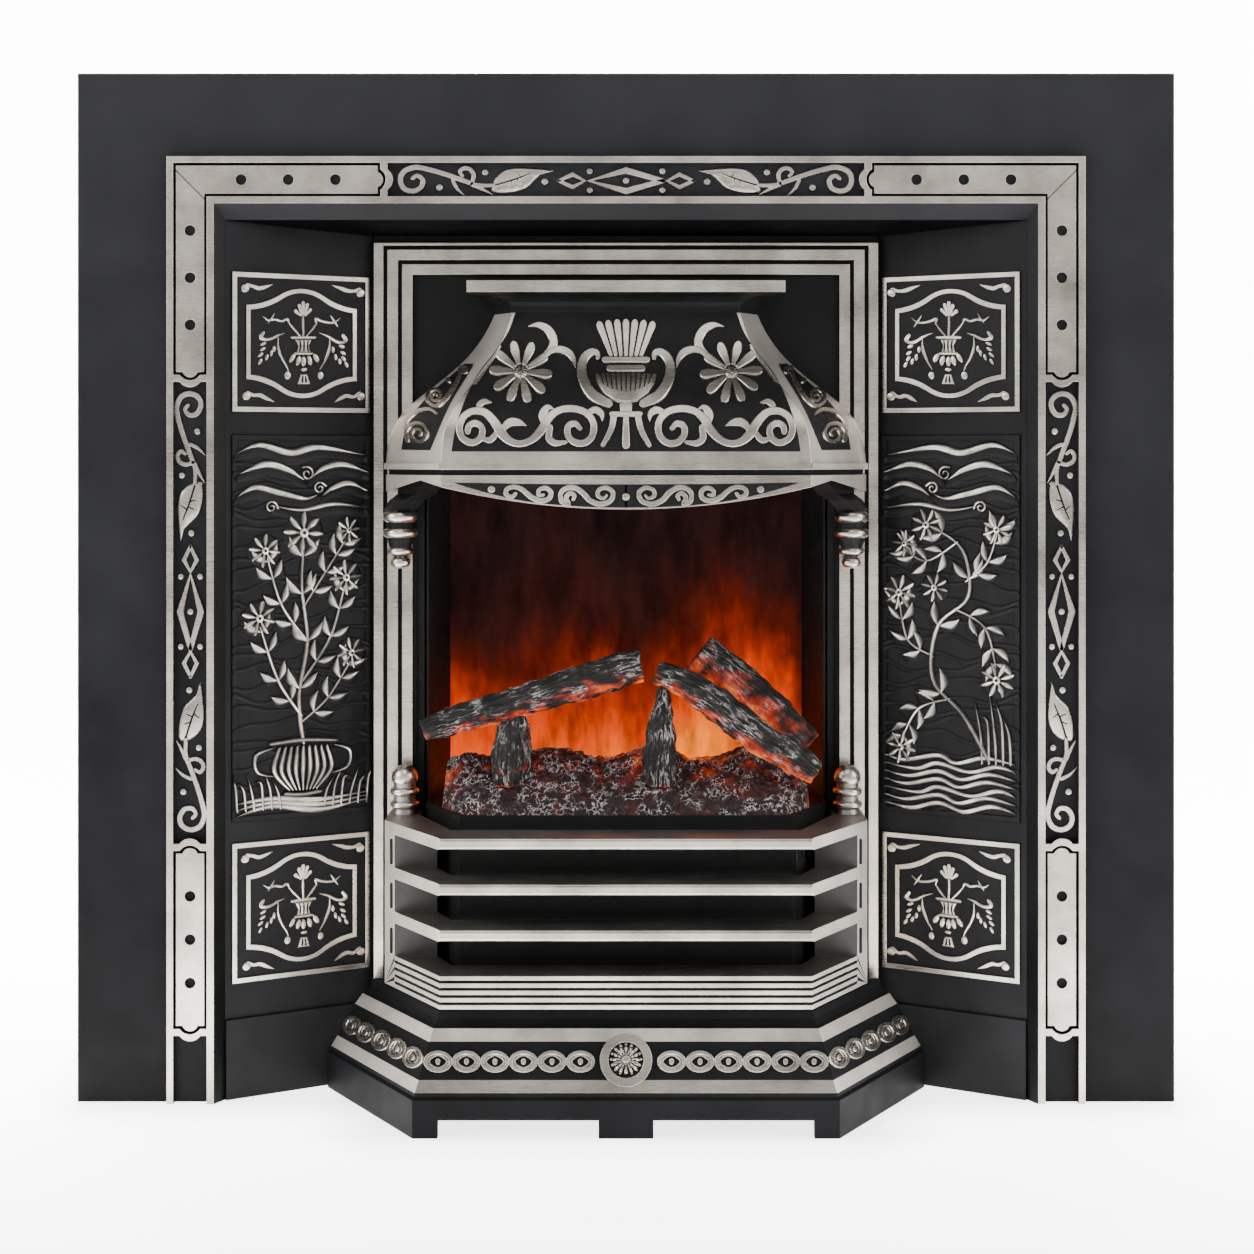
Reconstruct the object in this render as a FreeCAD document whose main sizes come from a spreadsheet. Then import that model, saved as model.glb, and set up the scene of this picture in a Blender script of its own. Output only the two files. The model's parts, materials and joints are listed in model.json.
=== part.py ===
"""A cast-iron tiled fireplace insert with an electric log-effect fire, as a parametric document.

Millimetres. X runs to the right, Y into the wall and Z up. The origin is on the hearth, in the
middle of the width, in the plane of the front plate's face. Left-hand pieces are modelled and
their right-hand twins are mirrored.
"""
import FreeCAD, Part
import math
import operator
import os
from types import SimpleNamespace

import Sketcher

SIZES = (
    # Front plate and its border
    ("plate_width", 1016, "overall width"),
    ("plate_height", 952, "overall height"),
    ("plate_thickness", 6, "cast thickness of the front plate"),
    ("plate_edge_round", 2, "rounding of the plate's front edge"),
    ("wall_rim", 12, "width of the rim round the plate's back that lies on the wall"),
    ("wall_rim_depth", 4, "how far that rim stands behind the plate"),
    ("border_width", 847, "across the raised border"),
    ("border_top", 874, "top of the raised border"),
    ("border_band", 43.5, "width of the border's band"),
    ("border_rise", 8, "height of the border's rails above the plate"),
    ("outer_rail", 6, "width of the border's outer rail"),
    ("inner_rail", 6.5, "width of the border's inner rail"),
    ("border_groove", 2.5, "groove beside each rail and strip"),
    ("strip_rise", 7, "height of the plain strips above the plate"),
    ("top_strip_reach", 229, "from the middle to the end of a corner strip"),
    ("side_strip_end", 675, "lower end of a corner strip"),
    ("low_strip_top", 231, "upper end of a lower strip"),
    ("low_strip_end", 72, "lower end of a lower strip"),
    ("strip_lobe", 5, "how far a strip's end swells"),
    ("strip_shoulder", 6, "square shoulder beside the swelling"),
    ("cross_rail", 6.5, "width of the rails that cross the border"),
    ("hollow_diameter", 10, "round hollows in the strips"),
    ("hollow_depth", 3, "depth of those hollows"),
    ("hollow_pitch", 43.5, "spacing of those hollows along a corner strip"),
    ("hollow_first", 68.5, "from the border's outer corner to its first hollow"),
    ("low_hollow_pitch", 40, "spacing of the hollows along a lower strip"),
    ("reveal_side", 8, "slope of the reveal at each side"),
    ("reveal_top", 14, "slope of the reveal at the head"),
    # Splayed sides, head and arch panel
    ("panel_thickness", 6, "cast thickness of the side panels and the head"),
    ("flange", 26, "flanges by which the panels are bolted together"),
    ("arch_width", 483, "across the arch panel"),
    ("arch_height", 809, "top of the arch panel"),
    ("arch_setback", 73, "from the plate's face back to the arch panel's face"),
    ("arch_thickness", 6, "cast thickness of the arch panel"),
    ("arch_rise", 5, "height of the arch panel's rails"),
    ("arch_edge_strip", 9, "polished strip at the arch panel's edge"),
    ("arch_top_band", 7, "plain band above the arch panel's rails"),
    ("arch_top_line", 2.5, "thin line under that band"),
    ("arch_groove", 4, "groove between the arch panel's rails"),
    ("arch_rail", 10, "width of each arch rail"),
    ("mouth_width", 402, "width of the fire opening"),
    ("mouth_height", 640, "height of the fire opening, hidden by the hood"),
    ("base_step_height", 74, "height of the step at the foot of a side panel"),
    ("base_step_rise", 3, "how far that step stands out"),
    # Relief tiles in the side panels
    ("tile_width", 137, "width of every tile"),
    ("square_tile_height", 130, "height of the upper and lower tiles"),
    ("tall_tile_height", 360, "height of the tall panels"),
    ("upper_tile_base", 639, "lower edge of the upper tiles"),
    ("tall_tile_base", 257, "lower edge of the tall panels"),
    ("lower_tile_base", 107, "lower edge of the lower tiles"),
    ("tile_thickness", 5, "thickness of a tile at its rim"),
    ("tile_seat", 3, "depth of the seat in the side panel"),
    ("tile_rim", 4.5, "width of a tile's rim"),
    ("tile_field_depth", 1.5, "from a tile's rim down to its field"),
    ("tile_ledge", 8, "ledge of the seat that carries a tile's edge"),
    ("tile_frame_width", 4, "width of the peaked frame on a square tile"),
    ("tile_frame_gap", 9, "from a square tile's rim to its peaked frame"),
    ("tile_peak", 17, "rise of the peaked frame's point"),
    ("tile_crown", 2.5, "crown of a tall panel's field"),
    ("seat_clearance", 0.3, "clearance round a piece in its seat"),
    ("stud_diameter", 6, "studs behind the tiles"),
    ("stud_end", 10, "how far a stud stands behind the clamp"),
    ("clamp_width", 30, "width of the tile clamps"),
    ("clamp_thickness", 4, "thickness of the tile clamps"),
    ("nut_across", 10, "width across flats of nuts and bolt heads"),
    ("nut_height", 5, "height of nuts and bolt heads"),
    ("bolt_diameter", 6, "bolts of the casting"),
    ("bolt_clearance", 0.6, "how much wider a bolt hole is than its bolt"),
    ("bolt_bite", 4, "how deep a bolt enters the casting it holds"),
    # Hood
    ("hood_base_width", 460, "width of the hood's foot where it meets the arch panel"),
    ("hood_front_width", 336, "width of the hood's foot at its front"),
    ("hood_reach", 113, "how far the hood's foot stands out from the arch panel"),
    ("hood_neck_width", 252, "width of the neck where it meets the arch panel"),
    ("hood_neck_front_width", 216, "width of the neck at its front"),
    ("hood_neck_reach", 33, "how far the neck stands out"),
    ("hood_neck_height", 733, "height of the neck above the hearth"),
    ("hood_base_height", 591, "height of the bell's foot above the hearth"),
    ("hood_wall", 5, "wall of the hood"),
    ("hood_fascia", 6, "upright fascia above the neck"),
    ("hood_cove", 12, "height of the cove under the shelf"),
    ("shelf_width", 298, "width of the hood's shelf"),
    ("shelf_reach", 53, "how far the shelf stands out"),
    ("shelf_thickness", 11, "thickness of the shelf"),
    ("hood_bead", 6, "height of the bead under the bell"),
    ("hood_bead_step", 2, "how far the bead stands out"),
    ("hood_groove", 5, "groove between bead and valance"),
    ("hood_groove_depth", 3, "depth of that groove"),
    ("valance_drop", 31, "height of the valance in the middle"),
    ("valance_rise", 26, "how much higher its edge is at the peak beside the corbel"),
    ("valance_peak_reach", 190, "from the middle to that peak"),
    ("valance_end_drop", 17, "drop of its edge from the peak to the arch panel"),
    ("hood_boss_radius", 12, "radius of the bosses inside the hood for its bolts"),
    ("hood_boss_length", 10, "length of those bosses"),
    ("hood_bolt_inset", 21, "from the neck's side to its upper bolts"),
    ("hood_bolt_edge", 7, "from the fire opening to the hood's lower bolts"),
    # Corbels and pendants
    ("pendant_reach", 214.7, "from the middle to a pendant's axis"),
    ("pendant_stand", 17, "from the arch panel's face to a pendant's axis"),
    ("pendant_radius", 16.5, "radius of a pendant's rings"),
    ("pendant_height", 54, "height of a pendant"),
    ("pendant_top", 545, "top of a pendant's upper ring"),
    ("corbel_spread", 40, "how far the corbel's head runs out along the hood"),
    ("corbel_half", 10, "half the thickness of the corbel's head"),
    ("corbel_shift", 13, "how far the corbel's head leans in behind the valance"),
    ("corbel_height", 30, "height of the corbel above its pendant"),
    # Fire bars
    ("bars_front", 85, "from the plate's face to the front of the bars"),
    ("bars_front_width", 330, "straight front of the bars"),
    ("bars_width", 449, "across the ends of the bars"),
    ("bars_inner_front_width", 317, "straight inner edge of the bars"),
    ("bars_inner_width", 392, "between the ends of the bars"),
    ("end_block", 24, "straight length of the bars' ends"),
    ("cant_angle", 58, "angle of the canted ends, in degrees"),
    ("bar_depth", 42, "depth of a bar"),
    ("bar_thickness", 10.7, "height of a bar"),
    ("bar_pitch", 40.7, "spacing of the bars"),
    ("bar_count", 3, "number of bars above the sill"),
    ("bar_round", 3, "rounding of a bar's front edge"),
    ("bars_base", 107.4, "underside of the sill"),
    ("sill_height", 29.4, "height of the reeded sill"),
    ("sill_reed", 3.8, "height of one reed"),
    ("sill_reed_count", 5, "number of reeds"),
    ("sill_reed_depth", 2.5, "depth of the grooves between reeds"),
    ("post_width", 21, "width of the end posts along the cant"),
    ("bars_gap", 1, "gap between the bars' ends and the arch rails"),
    ("rest_length", 22, "length of the ledges that carry the bars"),
    ("rest_height", 9, "height of those ledges"),
    ("finial_radius", 13.8, "radius of a finial's rings"),
    ("finial_height", 46, "height of a finial"),
    ("finial_stand", 22, "from the arch panel's face to a finial's axis"),
    ("spigot_diameter", 6, "spigot under a finial"),
    ("spigot_length", 7, "length of that spigot"),
    # Ash cover
    ("cover_front", 107, "from the plate's face to the cover's foot"),
    ("cover_front_width", 374, "straight front of the cover's foot"),
    ("cover_height", 103, "height of the cover"),
    ("cover_inset", 36, "how far its top stands back from its foot"),
    ("cover_wall", 7, "wall of the cover"),
    ("cover_gap", 1.5, "gap between the cover and the side panels"),
    ("foot_width", 48, "width of the middle foot"),
    ("foot_rise", 16, "height of the gaps between the feet"),
    ("foot_end", 22, "width of the corner feet"),
    ("rosette_radius", 23, "radius of the rosette's ring"),
    ("rosette_ring", 7, "width of that ring"),
    ("rosette_rise", 4, "how far the rosette stands out"),
    ("rosette_lift", 0.6, "how far its ring clears the cover's mouldings"),
    ("rosette_petal_count", 12, "petals of the rosette"),
    ("rosette_height", 64, "height of the rosette's middle"),
    # Electric fire
    ("sheet", 2, "sheet steel of the fire"),
    ("housing_width", 392, "width of the fire's housing"),
    ("housing_height", 652, "height of the fire's housing"),
    ("housing_back", 232, "from the plate's face to the housing's back"),
    ("housing_flange", 16, "flange of the housing behind the arch panel"),
    ("chamber_back", 150, "from the plate's face to the flame screen"),
    ("chamber_back_width", 350, "width of the chamber at the screen"),
    ("chamber_roof", 585, "height of the chamber's roof"),
    ("screw_diameter", 4, "screws of the rear cover"),
    ("screw_head", 2.5, "height of those screws' heads"),
    ("vent_count", 6, "vents in the rear cover and the heater"),
    ("vent_pitch", 16, "spacing of the vents"),
    ("vent_height", 5, "height of a vent"),
    ("vent_length", 220, "length of a vent in the rear cover"),
    ("screen_thickness", 3, "thickness of the flame screen"),
    ("tray_top", 268, "top of the fuel tray"),
    ("tray_width", 376, "width of the fuel tray"),
    ("base_width", 280, "width of the fire's base sheet in front of the housing"),
    ("base_reach", 12, "from the plate's face to the front of that sheet"),
    ("apron_front", 28, "from the plate's face to the apron's face"),
    ("apron_front_width", 304, "straight front of the apron"),
    ("apron_top", 269.5, "top of the apron"),
    ("apron_cant_depth", 80, "depth of the apron's canted ends"),
    ("apron_return", 24, "straight return of the apron behind its cants"),
    ("apron_foot", 110, "height of the apron's lower edge"),
    ("bed_width", 344, "width of the ember bed"),
    ("bed_depth", 92, "depth of the ember bed"),
    ("bed_height", 54, "height of the ember bed at its back"),
    ("bed_lip", 16, "height of the ember bed at its front"),
    # Flame mechanism
    ("spindle_back", 190, "from the plate's face to the spindle's axis"),
    ("spindle_height", 300, "height of the spindle's axis"),
    ("spindle_diameter", 6, "diameter of the spindle"),
    ("spindle_length", 334, "length of the spindle"),
    ("spindle_plug", 6, "how far a shaft reaches into its motor"),
    ("vane_length", 26, "length of a flicker vane"),
    ("vane_width", 44, "width of a flicker vane"),
    ("vane_thickness", 1, "thickness of a flicker vane"),
    ("vane_pitch", 36, "spacing of the vanes"),
    ("vane_count", 8, "number of vanes"),
    ("running_clearance", 0.08, "clearance of a shaft in its bearing, on the radius"),
    ("bearing_block", 18, "side of a bearing block"),
    ("bearing_length", 10, "length of a bearing block"),
    ("motor_radius", 24, "radius of the flame motor"),
    ("motor_length", 20, "length of the flame motor"),
    ("motor_ear", 8, "ears by which the flame motor is held"),
    ("board_depth", 20, "width of a light board"),
    ("board_thickness", 1.6, "thickness of a light board"),
    ("lamp_size", 5, "side of one lamp on a board"),
    ("lamp_height", 2, "height of one lamp"),
    ("lamp_pitch", 30, "spacing of the lamps"),
    ("lamp_count", 10, "lamps on a board"),
    # Fan heater
    ("heater_width", 330, "width of the heater's case"),
    ("heater_height", 58, "height of the heater's case"),
    ("heater_back", 196, "from the plate's face to the back of the heater"),
    ("fan_radius", 19, "radius of the blower wheel"),
    ("fan_length", 240, "length of the blower wheel"),
    ("fan_gap", 12, "from the heater's end to the blower wheel"),
    ("fan_blade_count", 16, "blades of the blower wheel"),
    ("fan_blade_width", 7, "width of a blade"),
    ("fan_blade_thickness", 1, "thickness of a blade"),
    ("fan_disc", 3, "thickness of the wheel's end discs"),
    ("fan_shaft", 5, "diameter of the blower's shaft"),
    ("fan_setback", 160, "from the plate's face to the blower's axis"),
    ("blower_motor_radius", 20, "radius of the blower's motor"),
    ("blower_motor_length", 34, "length of the blower's motor"),
    ("element_setback", 112, "from the plate's face to the heating element"),
    ("element_rod", 6, "diameter of an element rod"),
    ("element_pitch", 14, "spacing of the element rods"),
    ("element_count", 3, "number of element rods"),
    ("grille_slat", 2.5, "thickness of a grille slat"),
    ("grille_slat_count", 5, "number of grille slats"),
    ("grille_depth", 5, "depth of the outlet grille"),
    # Switches and supply inlet
    ("switch_height", 233, "height of the rockers' axis"),
    ("switch_along", 26, "from the apron's corner to the middle of the switches"),
    ("switch_pitch", 17, "spacing of the two rockers"),
    ("rocker_width", 12, "width of a rocker"),
    ("rocker_height", 19, "height of a rocker"),
    ("rocker_depth", 8, "depth of a rocker behind the bezel's face"),
    ("rocker_rise", 3.5, "how far a rocker's ends stand out"),
    ("rocker_gap", 0.8, "gap round a rocker"),
    ("rocker_tilt", 8, "tilt of a rocker at rest, in degrees"),
    ("rocker_pin", 2.4, "diameter of a rocker's pin"),
    ("bezel_rim", 3, "rim of the switch bezel"),
    ("bezel_rise", 1.5, "how far the bezel stands out"),
    ("gland_across", 120, "from the middle to the cable gland"),
    ("gland_height", 60, "height of the cable gland"),
    ("gland_bore", 8, "bore of the cable gland"),
    ("gland_diameter", 16, "diameter of the cable gland"),
    ("gland_length", 14, "how far the gland stands out"),
    # Fixing lugs
    ("lug_across", 470, "from the middle to a fixing lug"),
    ("lug_low", 180, "height of the lower fixing lugs"),
    ("lug_high", 780, "height of the upper fixing lugs"),
    ("lug_width", 30, "width of a fixing lug"),
    ("lug_reach", 34, "how far a lug stands behind the plate"),
    ("lug_thickness", 5, "thickness of a lug"),
    ("lug_hole", 9, "hole in a lug"),
    ("overrun", 20, "how far every cut runs past what it cuts"),
)

# The bell of the hood: how far up from its foot, and how far it has drawn in there.
BELL_SHARES = ((0, 0), (0.12, 0.02), (0.27, 0.09), (0.4, 0.24), (0.55, 0.5), (0.72, 0.76), (1, 1))
# The ash cover's face: how far up, and how far it stands back.
COVER_SHARES = ((0, 0), (0.325, 0), (0.345, 0.08), (0.38, 0.08), (0.476, 0.22), (0.767, 0.61),
                (0.864, 0.78), (0.89, 0.88), (0.93, 0.96), (1, 1))
# Where the ash cover's hollow follows its face.
COVER_HOLLOW_SHARES = ((0.345, 0.08), (0.476, 0.22), (0.767, 0.61), (0.9, 0.9))
# Beads of a pendant from its top down: top, bottom, root radius and bead radius.
PENDANT_SHARES = ((0, 0.19, 0.8, 1), (0.3, 0.46, 0.8, 1), (0.64, 0.76, 0.62, 0.75), (0.8, 1, 0.3, 0.56))
# Beads of a finial from its foot up, in the same order.
FINIAL_SHARES = ((0.1, 0.26, 0.75, 1), (0.36, 0.54, 0.75, 1))
# Each log: section places across the bed's width, over its depth and above its height, and the radius
# of the section as a share of the bed's height.
LOG_SHARES = {
    "log_left": ((-0.55, 0.42, 1.39, 0.25), (-0.33, 0.46, 1.78, 0.3), (-0.12, 0.5, 2.18, 0.33),
                 (0.04, 0.52, 2.44, 0.3)),
    "log_right": ((0.095, 0.42, 2.36, 0.22), (0.23, 0.36, 1.9, 0.29), (0.38, 0.29, 1.2, 0.3),
                  (0.51, 0.26, 0.72, 0.24)),
    "log_rear": ((0.2, 0.98, 2.62, 0.38), (0.32, 0.96, 1.98, 0.42), (0.44, 0.93, 1.3, 0.4),
                 (0.5, 0.9, 0.94, 0.36)),
    "log_stub_left": ((-0.31, 0.44, 0.5, 0.36), (-0.31, 0.45, 1.1, 0.33), (-0.308, 0.46, 1.68, 0.25)),
    "log_stub_right": ((0.09, 0.36, 0.5, 0.3), (0.092, 0.38, 1.2, 0.26), (0.105, 0.42, 2.32, 0.15)),
}
# The ember bed across its width: its back's height, and how far its front stands back.
BED_SHARES = ((-0.5, 0.72, 0.48), (-0.4, 0.9, 0.06), (-0.2, 0.82, 0), (-0.04, 1, 0), (0.14, 0.88, 0),
              (0.3, 1, 0), (0.4, 0.98, 0.06), (0.5, 0.88, 0.48))
BED_MIDDLE_SHARE = 0.72
LOG_SIDES = 9
# Where bolts stand along the flanges and across them.
FLANGE_BOLT_SHARE = 0.6
BOLT_HEIGHT_SHARES = (0.08, 0.5, 0.92)
HEAD_BOLT_SHARES = (-0.7, 0, 0.7)
TALL_STUD_SHARE = 0.25
# The peaked frame of a square tile: half its brow, how far it has climbed there, and its hollow.
PEAK_BROW_SHARE = 0.2
PEAK_CLIMB_SHARE = 0.62
PEAK_HOLLOW_SHARE = 0.2
TALL_CROWN_SHARE = 0.36
# The cove under the hood's shelf: how far up, and how far it has spread.
COVE_SHARES = ((0, 0), (0.35, 0.07), (0.65, 0.25), (0.86, 0.52), (1, 0.94))
HOLLOW_TOP_SHARE = 0.93
# A corbel's head: how far up, how far it leans in and how far it runs out.
CORBEL_SHARES = ((0, 0, 0), (0.36, 0.45, 0.2), (0.56, 1, 0.5), (1, 1, 1))
FINIAL_DOME_SHARE = 0.64
FINIAL_CROWN_SHARE = 0.87
# A rosette's petals: their radius, how far out they stand and how high.
PETAL_SIZE_SHARE = 0.14
PETAL_REACH_SHARE = 0.62
PETAL_RISE_SHARE = 0.8
# The heights of the rear vents, a rocker's pin and waist, and the turn from one vane to the next.
VENT_BASE_SHARE = 0.6
ROCKER_PIN_SHARE = 0.4
ROCKER_WAIST_SHARE = 0.35
VANE_TURN = 60

doc = FreeCAD.newDocument("fireplace_insert")
sheet = doc.addObject("Spreadsheet::Sheet", "sizes")
for row, (size_name, size_value, size_note) in enumerate(SIZES, start=1):
    sheet.set(f"A{row}", size_name)
    sheet.set(f"B{row}", str(size_value))
    sheet.setAlias(f"B{row}", size_name)
    sheet.set(f"C{row}", size_note)
doc.recompute()


class Size:
    """A size of the sheet, or one worked out from such sizes: its number, and the formula that binds it."""

    def __init__(self, number, formula):
        self.number = number
        self.formula = formula

    def joined(self, sign, work, first, second):
        first, second = as_size(first), as_size(second)
        return Size(work(first.number, second.number), f"({first.formula} {sign} {second.formula})")

    def __add__(self, other):
        return self.joined("+", operator.add, self, other)

    def __radd__(self, other):
        return self.joined("+", operator.add, other, self)

    def __sub__(self, other):
        return self.joined("-", operator.sub, self, other)

    def __rsub__(self, other):
        return self.joined("-", operator.sub, other, self)

    def __mul__(self, other):
        return self.joined("*", operator.mul, self, other)

    def __rmul__(self, other):
        return self.joined("*", operator.mul, other, self)

    def __truediv__(self, other):
        return self.joined("/", operator.truediv, self, other)

    def __rtruediv__(self, other):
        return self.joined("/", operator.truediv, other, self)

    def __neg__(self):
        return Size(-self.number, f"(-{self.formula})")


def as_size(item):
    """A plain number as a Size, so that both can stand in one sum."""
    return item if isinstance(item, Size) else Size(float(item), repr(item))


def sine(angle):
    return Size(math.sin(math.radians(angle.number)), f"sin({angle.formula} * 1deg)")


def cosine(angle):
    return Size(math.cos(math.radians(angle.number)), f"cos({angle.formula} * 1deg)")


def tangent(angle):
    return Size(math.tan(math.radians(angle.number)), f"tan({angle.formula} * 1deg)")


def slope_angle(rise, run):
    rise, run = as_size(rise), as_size(run)
    angle = math.degrees(math.atan2(rise.number, run.number))
    return Size(angle, f"(atan2({rise.formula}; {run.formula}) / 1deg)")


def length_of(run, rise):
    run, rise = as_size(run), as_size(rise)
    return Size(math.hypot(run.number, rise.number), f"sqrt({run.formula} ^ 2 + {rise.formula} ^ 2)")


S = SimpleNamespace(**{name: Size(float(sheet.get(name)), "sizes." + name) for name, _, _ in SIZES})

# Places that several pieces share
plate_half = S.plate_width / 2
border_half = S.border_width / 2
border_inner_half = border_half - S.border_band
border_inner_top = S.border_top - S.border_band
opening_half = border_inner_half - S.reveal_side
opening_top = border_inner_top - S.reveal_top
arch_half = S.arch_width / 2
arch_back = S.arch_setback + S.arch_thickness
arch_rail_face = S.arch_setback - S.arch_rise
splay_run = opening_half - arch_half
splay_depth = arch_back - S.plate_thickness
splay_length = length_of(splay_run, splay_depth)
splay_angle = slope_angle(splay_depth, splay_run)
mouth_half = S.mouth_width / 2
hood_half = S.hood_base_width / 2
hood_front_half = S.hood_front_width / 2
hood_front = S.arch_setback - S.hood_reach
valance_top = S.hood_base_height - S.hood_bead - S.hood_groove
hood_foot = valance_top - S.valance_drop
bars_top = S.bars_base + S.sill_height + S.bar_pitch * S.bar_count
cant_spread = 1 / tangent(S.cant_angle)
corner_share = tangent(S.cant_angle / 2)
bed_front = -S.apron_front + S.sheet + S.seat_clearance
apron_half = S.apron_front_width / 2


def origin_plane(body, role):
    return next(item for item in body.Origin.OriginFeatures if item.Role == role)


def bind(thing, target, size):
    thing.setExpression(target, as_size(size).formula)


class View:
    """A drawing plane of a body: an origin plane, turned about one of its own axes at a place along it."""

    def __init__(self, role, toward, x=0, y=0, depth=0, turn_axis=(0, 1, 0), angle=None):
        self.role = role
        self.toward = toward
        self.x, self.y, self.depth = x, y, depth
        self.turn_axis, self.angle = FreeCAD.Vector(*turn_axis), angle

    def attach(self, body, sketch, start):
        """Puts the sketch at a place along the view's own normal."""
        sketch.AttachmentSupport = [(origin_plane(body, self.role), "")]
        sketch.MapMode = "FlatFace"
        along = as_size(start) * self.toward
        across, up, out = self.x, self.y, self.depth
        if self.angle is None:
            out = out + along
        elif self.turn_axis.y:
            across = across + along * sine(self.angle)
            out = out + along * cosine(self.angle)
        else:
            up = up - along * sine(self.angle)
            out = out + along * cosine(self.angle)
        if self.angle is not None:
            turn = FreeCAD.Rotation(self.turn_axis, self.angle.number)
            sketch.AttachmentOffset = FreeCAD.Placement(FreeCAD.Vector(), turn)
            bind(sketch, "AttachmentOffset.Rotation.Angle", self.angle)
        for axis, size in (("x", across), ("y", up), ("z", out)):
            bind(sketch, "AttachmentOffset.Base." + axis, size)


# In the front view a place is a depth Y, so it grows against the plane's normal.
FRONT = View("XZ_Plane", -1)
PLAN = View("XY_Plane", 1)
SIDE = View("YZ_Plane", 1)
# On the left splay: x runs along the panel from its front edge, and a place is the height above its face.
SPLAY = View("XZ_Plane", 1, x=-opening_half, depth=-S.plate_thickness, angle=splay_angle)


def vector(x, y):
    return FreeCAD.Vector(as_size(x).number, as_size(y).number, 0)


def draw_outline(sketch, points):
    """A closed outline through its points. A third item gives the radius of the arc that leaves the point:
    over zero it swells to the right of the way round, under zero to the left."""
    first = sketch.GeometryCount
    starts = []
    for here, there in zip(points, points[1:] + points[:1]):
        begin, end = vector(*here[:2]), vector(*there[:2])
        if len(here) == 2:
            sketch.addGeometry(Part.LineSegment(begin, end))
            starts.append(1)
            continue
        radius = as_size(here[2]).number
        chord = end - begin
        middle = (begin + end) * 0.5
        to_left = FreeCAD.Vector(-chord.y, chord.x, 0).normalize()
        reach = math.sqrt(max(radius ** 2 - chord.Length ** 2 / 4, 0))
        centre = middle + to_left * math.copysign(reach, radius)
        low, high = (begin, end) if radius > 0 else (end, begin)
        angles = [math.atan2(point.y - centre.y, point.x - centre.x) for point in (low, high)]
        circle = Part.Circle(centre, FreeCAD.Vector(0, 0, 1), abs(radius))
        sketch.addGeometry(Part.ArcOfCircle(circle, *angles))
        starts.append(1 if radius > 0 else 2)
    count = len(points)
    for index, point in enumerate(points):
        edge, before = first + index, first + (index - 1) % count
        before_end = 3 - starts[(index - 1) % count]
        sketch.addConstraint(Sketcher.Constraint("Coincident", before, before_end, edge, starts[index]))
        tie(sketch, "DistanceX", edge, starts[index], point[0])
        tie(sketch, "DistanceY", edge, starts[index], point[1])
        if len(point) == 3:
            radius = as_size(point[2])
            radius = radius if radius.number > 0 else -radius
            bound = sketch.addConstraint(Sketcher.Constraint("Radius", edge, radius.number))
            bind(sketch, f"Constraints[{bound}]", radius)


def tie(sketch, kind, edge, end, size):
    """Ties one end of an edge to a size, measured from the sketch's origin."""
    bound = sketch.addConstraint(Sketcher.Constraint(kind, -1, 1, edge, end, as_size(size).number))
    bind(sketch, f"Constraints[{bound}]", size)


def draw_circle(sketch, x, y, radius):
    edge = sketch.addGeometry(Part.Circle(vector(x, y), FreeCAD.Vector(0, 0, 1), as_size(radius).number))
    tie(sketch, "DistanceX", edge, 3, x)
    tie(sketch, "DistanceY", edge, 3, y)
    bound = sketch.addConstraint(Sketcher.Constraint("Radius", edge, as_size(radius).number))
    bind(sketch, f"Constraints[{bound}]", radius)


def new_body(label):
    body = doc.addObject("PartDesign::Body", label)
    body.Label = label
    return body


def new_sketch(body, view, start, outlines):
    sketch = body.newObject("Sketcher::SketchObject", "outline")
    view.attach(body, sketch, start)
    for outline in outlines:
        if isinstance(outline, tuple):
            draw_circle(sketch, *outline)
        else:
            draw_outline(sketch, outline)
    return sketch


def prism(body, view, start, end, *outlines, cut=False):
    """Adds or cuts the outlines of a view, from one place along it to another."""
    sketch = new_sketch(body, view, start, outlines)
    feature = body.newObject("PartDesign::Pocket" if cut else "PartDesign::Pad", "cut" if cut else "form")
    feature.Profile = sketch
    run = as_size(end) - as_size(start)
    feature.Reversed = (run.number * view.toward > 0) == cut
    bind(feature, "Length", run if run.number > 0 else -run)
    before = feature.BaseFeature.Shape.Volume if feature.BaseFeature else 0
    doc.recompute()
    grown = feature.Shape.Volume - before
    if (grown >= 0) if cut else (grown <= 0):
        raise RuntimeError(f"{feature.Label} in {body.Label} changes nothing")
    return feature


def turned(body, view, outline, start=0, cut=False):
    """Turns an outline of radii and heights about the upright axis of its view."""
    sketch = new_sketch(body, view, start, [outline])
    feature = body.newObject("PartDesign::Groove" if cut else "PartDesign::Revolution", "turning")
    feature.Profile = sketch
    feature.ReferenceAxis = (sketch, ["V_Axis"])
    feature.Angle = 360
    doc.recompute()
    return feature


def lofted(body, view, sections, ruled=False, cut=False):
    """Blends through outlines at their places along the view."""
    sketches = [new_sketch(body, view, place, [outline]) for place, outline in sections]
    feature = body.newObject("PartDesign::SubtractiveLoft" if cut else "PartDesign::AdditiveLoft", "blend")
    feature.Profile = sketches[0]
    feature.Sections = sketches[1:]
    feature.Ruled = ruled
    doc.recompute()
    return feature


def rounded(body, radius, wanted):
    """Rounds the edges of the body that a test on the edge picks."""
    doc.recompute()
    base = body.Tip
    names = [f"Edge{i}" for i, edge in enumerate(base.Shape.Edges, start=1) if wanted(edge)]
    feature = body.newObject("PartDesign::Fillet", "rounding")
    feature.Base = (base, names)
    bind(feature, "Radius", radius)
    doc.recompute()
    return feature


def mirrored(body, label):
    twin = doc.addObject("Part::Mirroring", label)
    twin.Label = label
    twin.Source = body
    twin.Normal = (1, 0, 0)
    doc.recompute()
    return twin


def rectangle(left, right, low, high):
    return [(left, low), (right, low), (right, high), (left, high)]


def standing_rectangle(half, top):
    """A rectangle about the middle that reaches below the hearth, for cuts that open downwards."""
    return rectangle(-half, half, -S.overrun, top)


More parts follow.
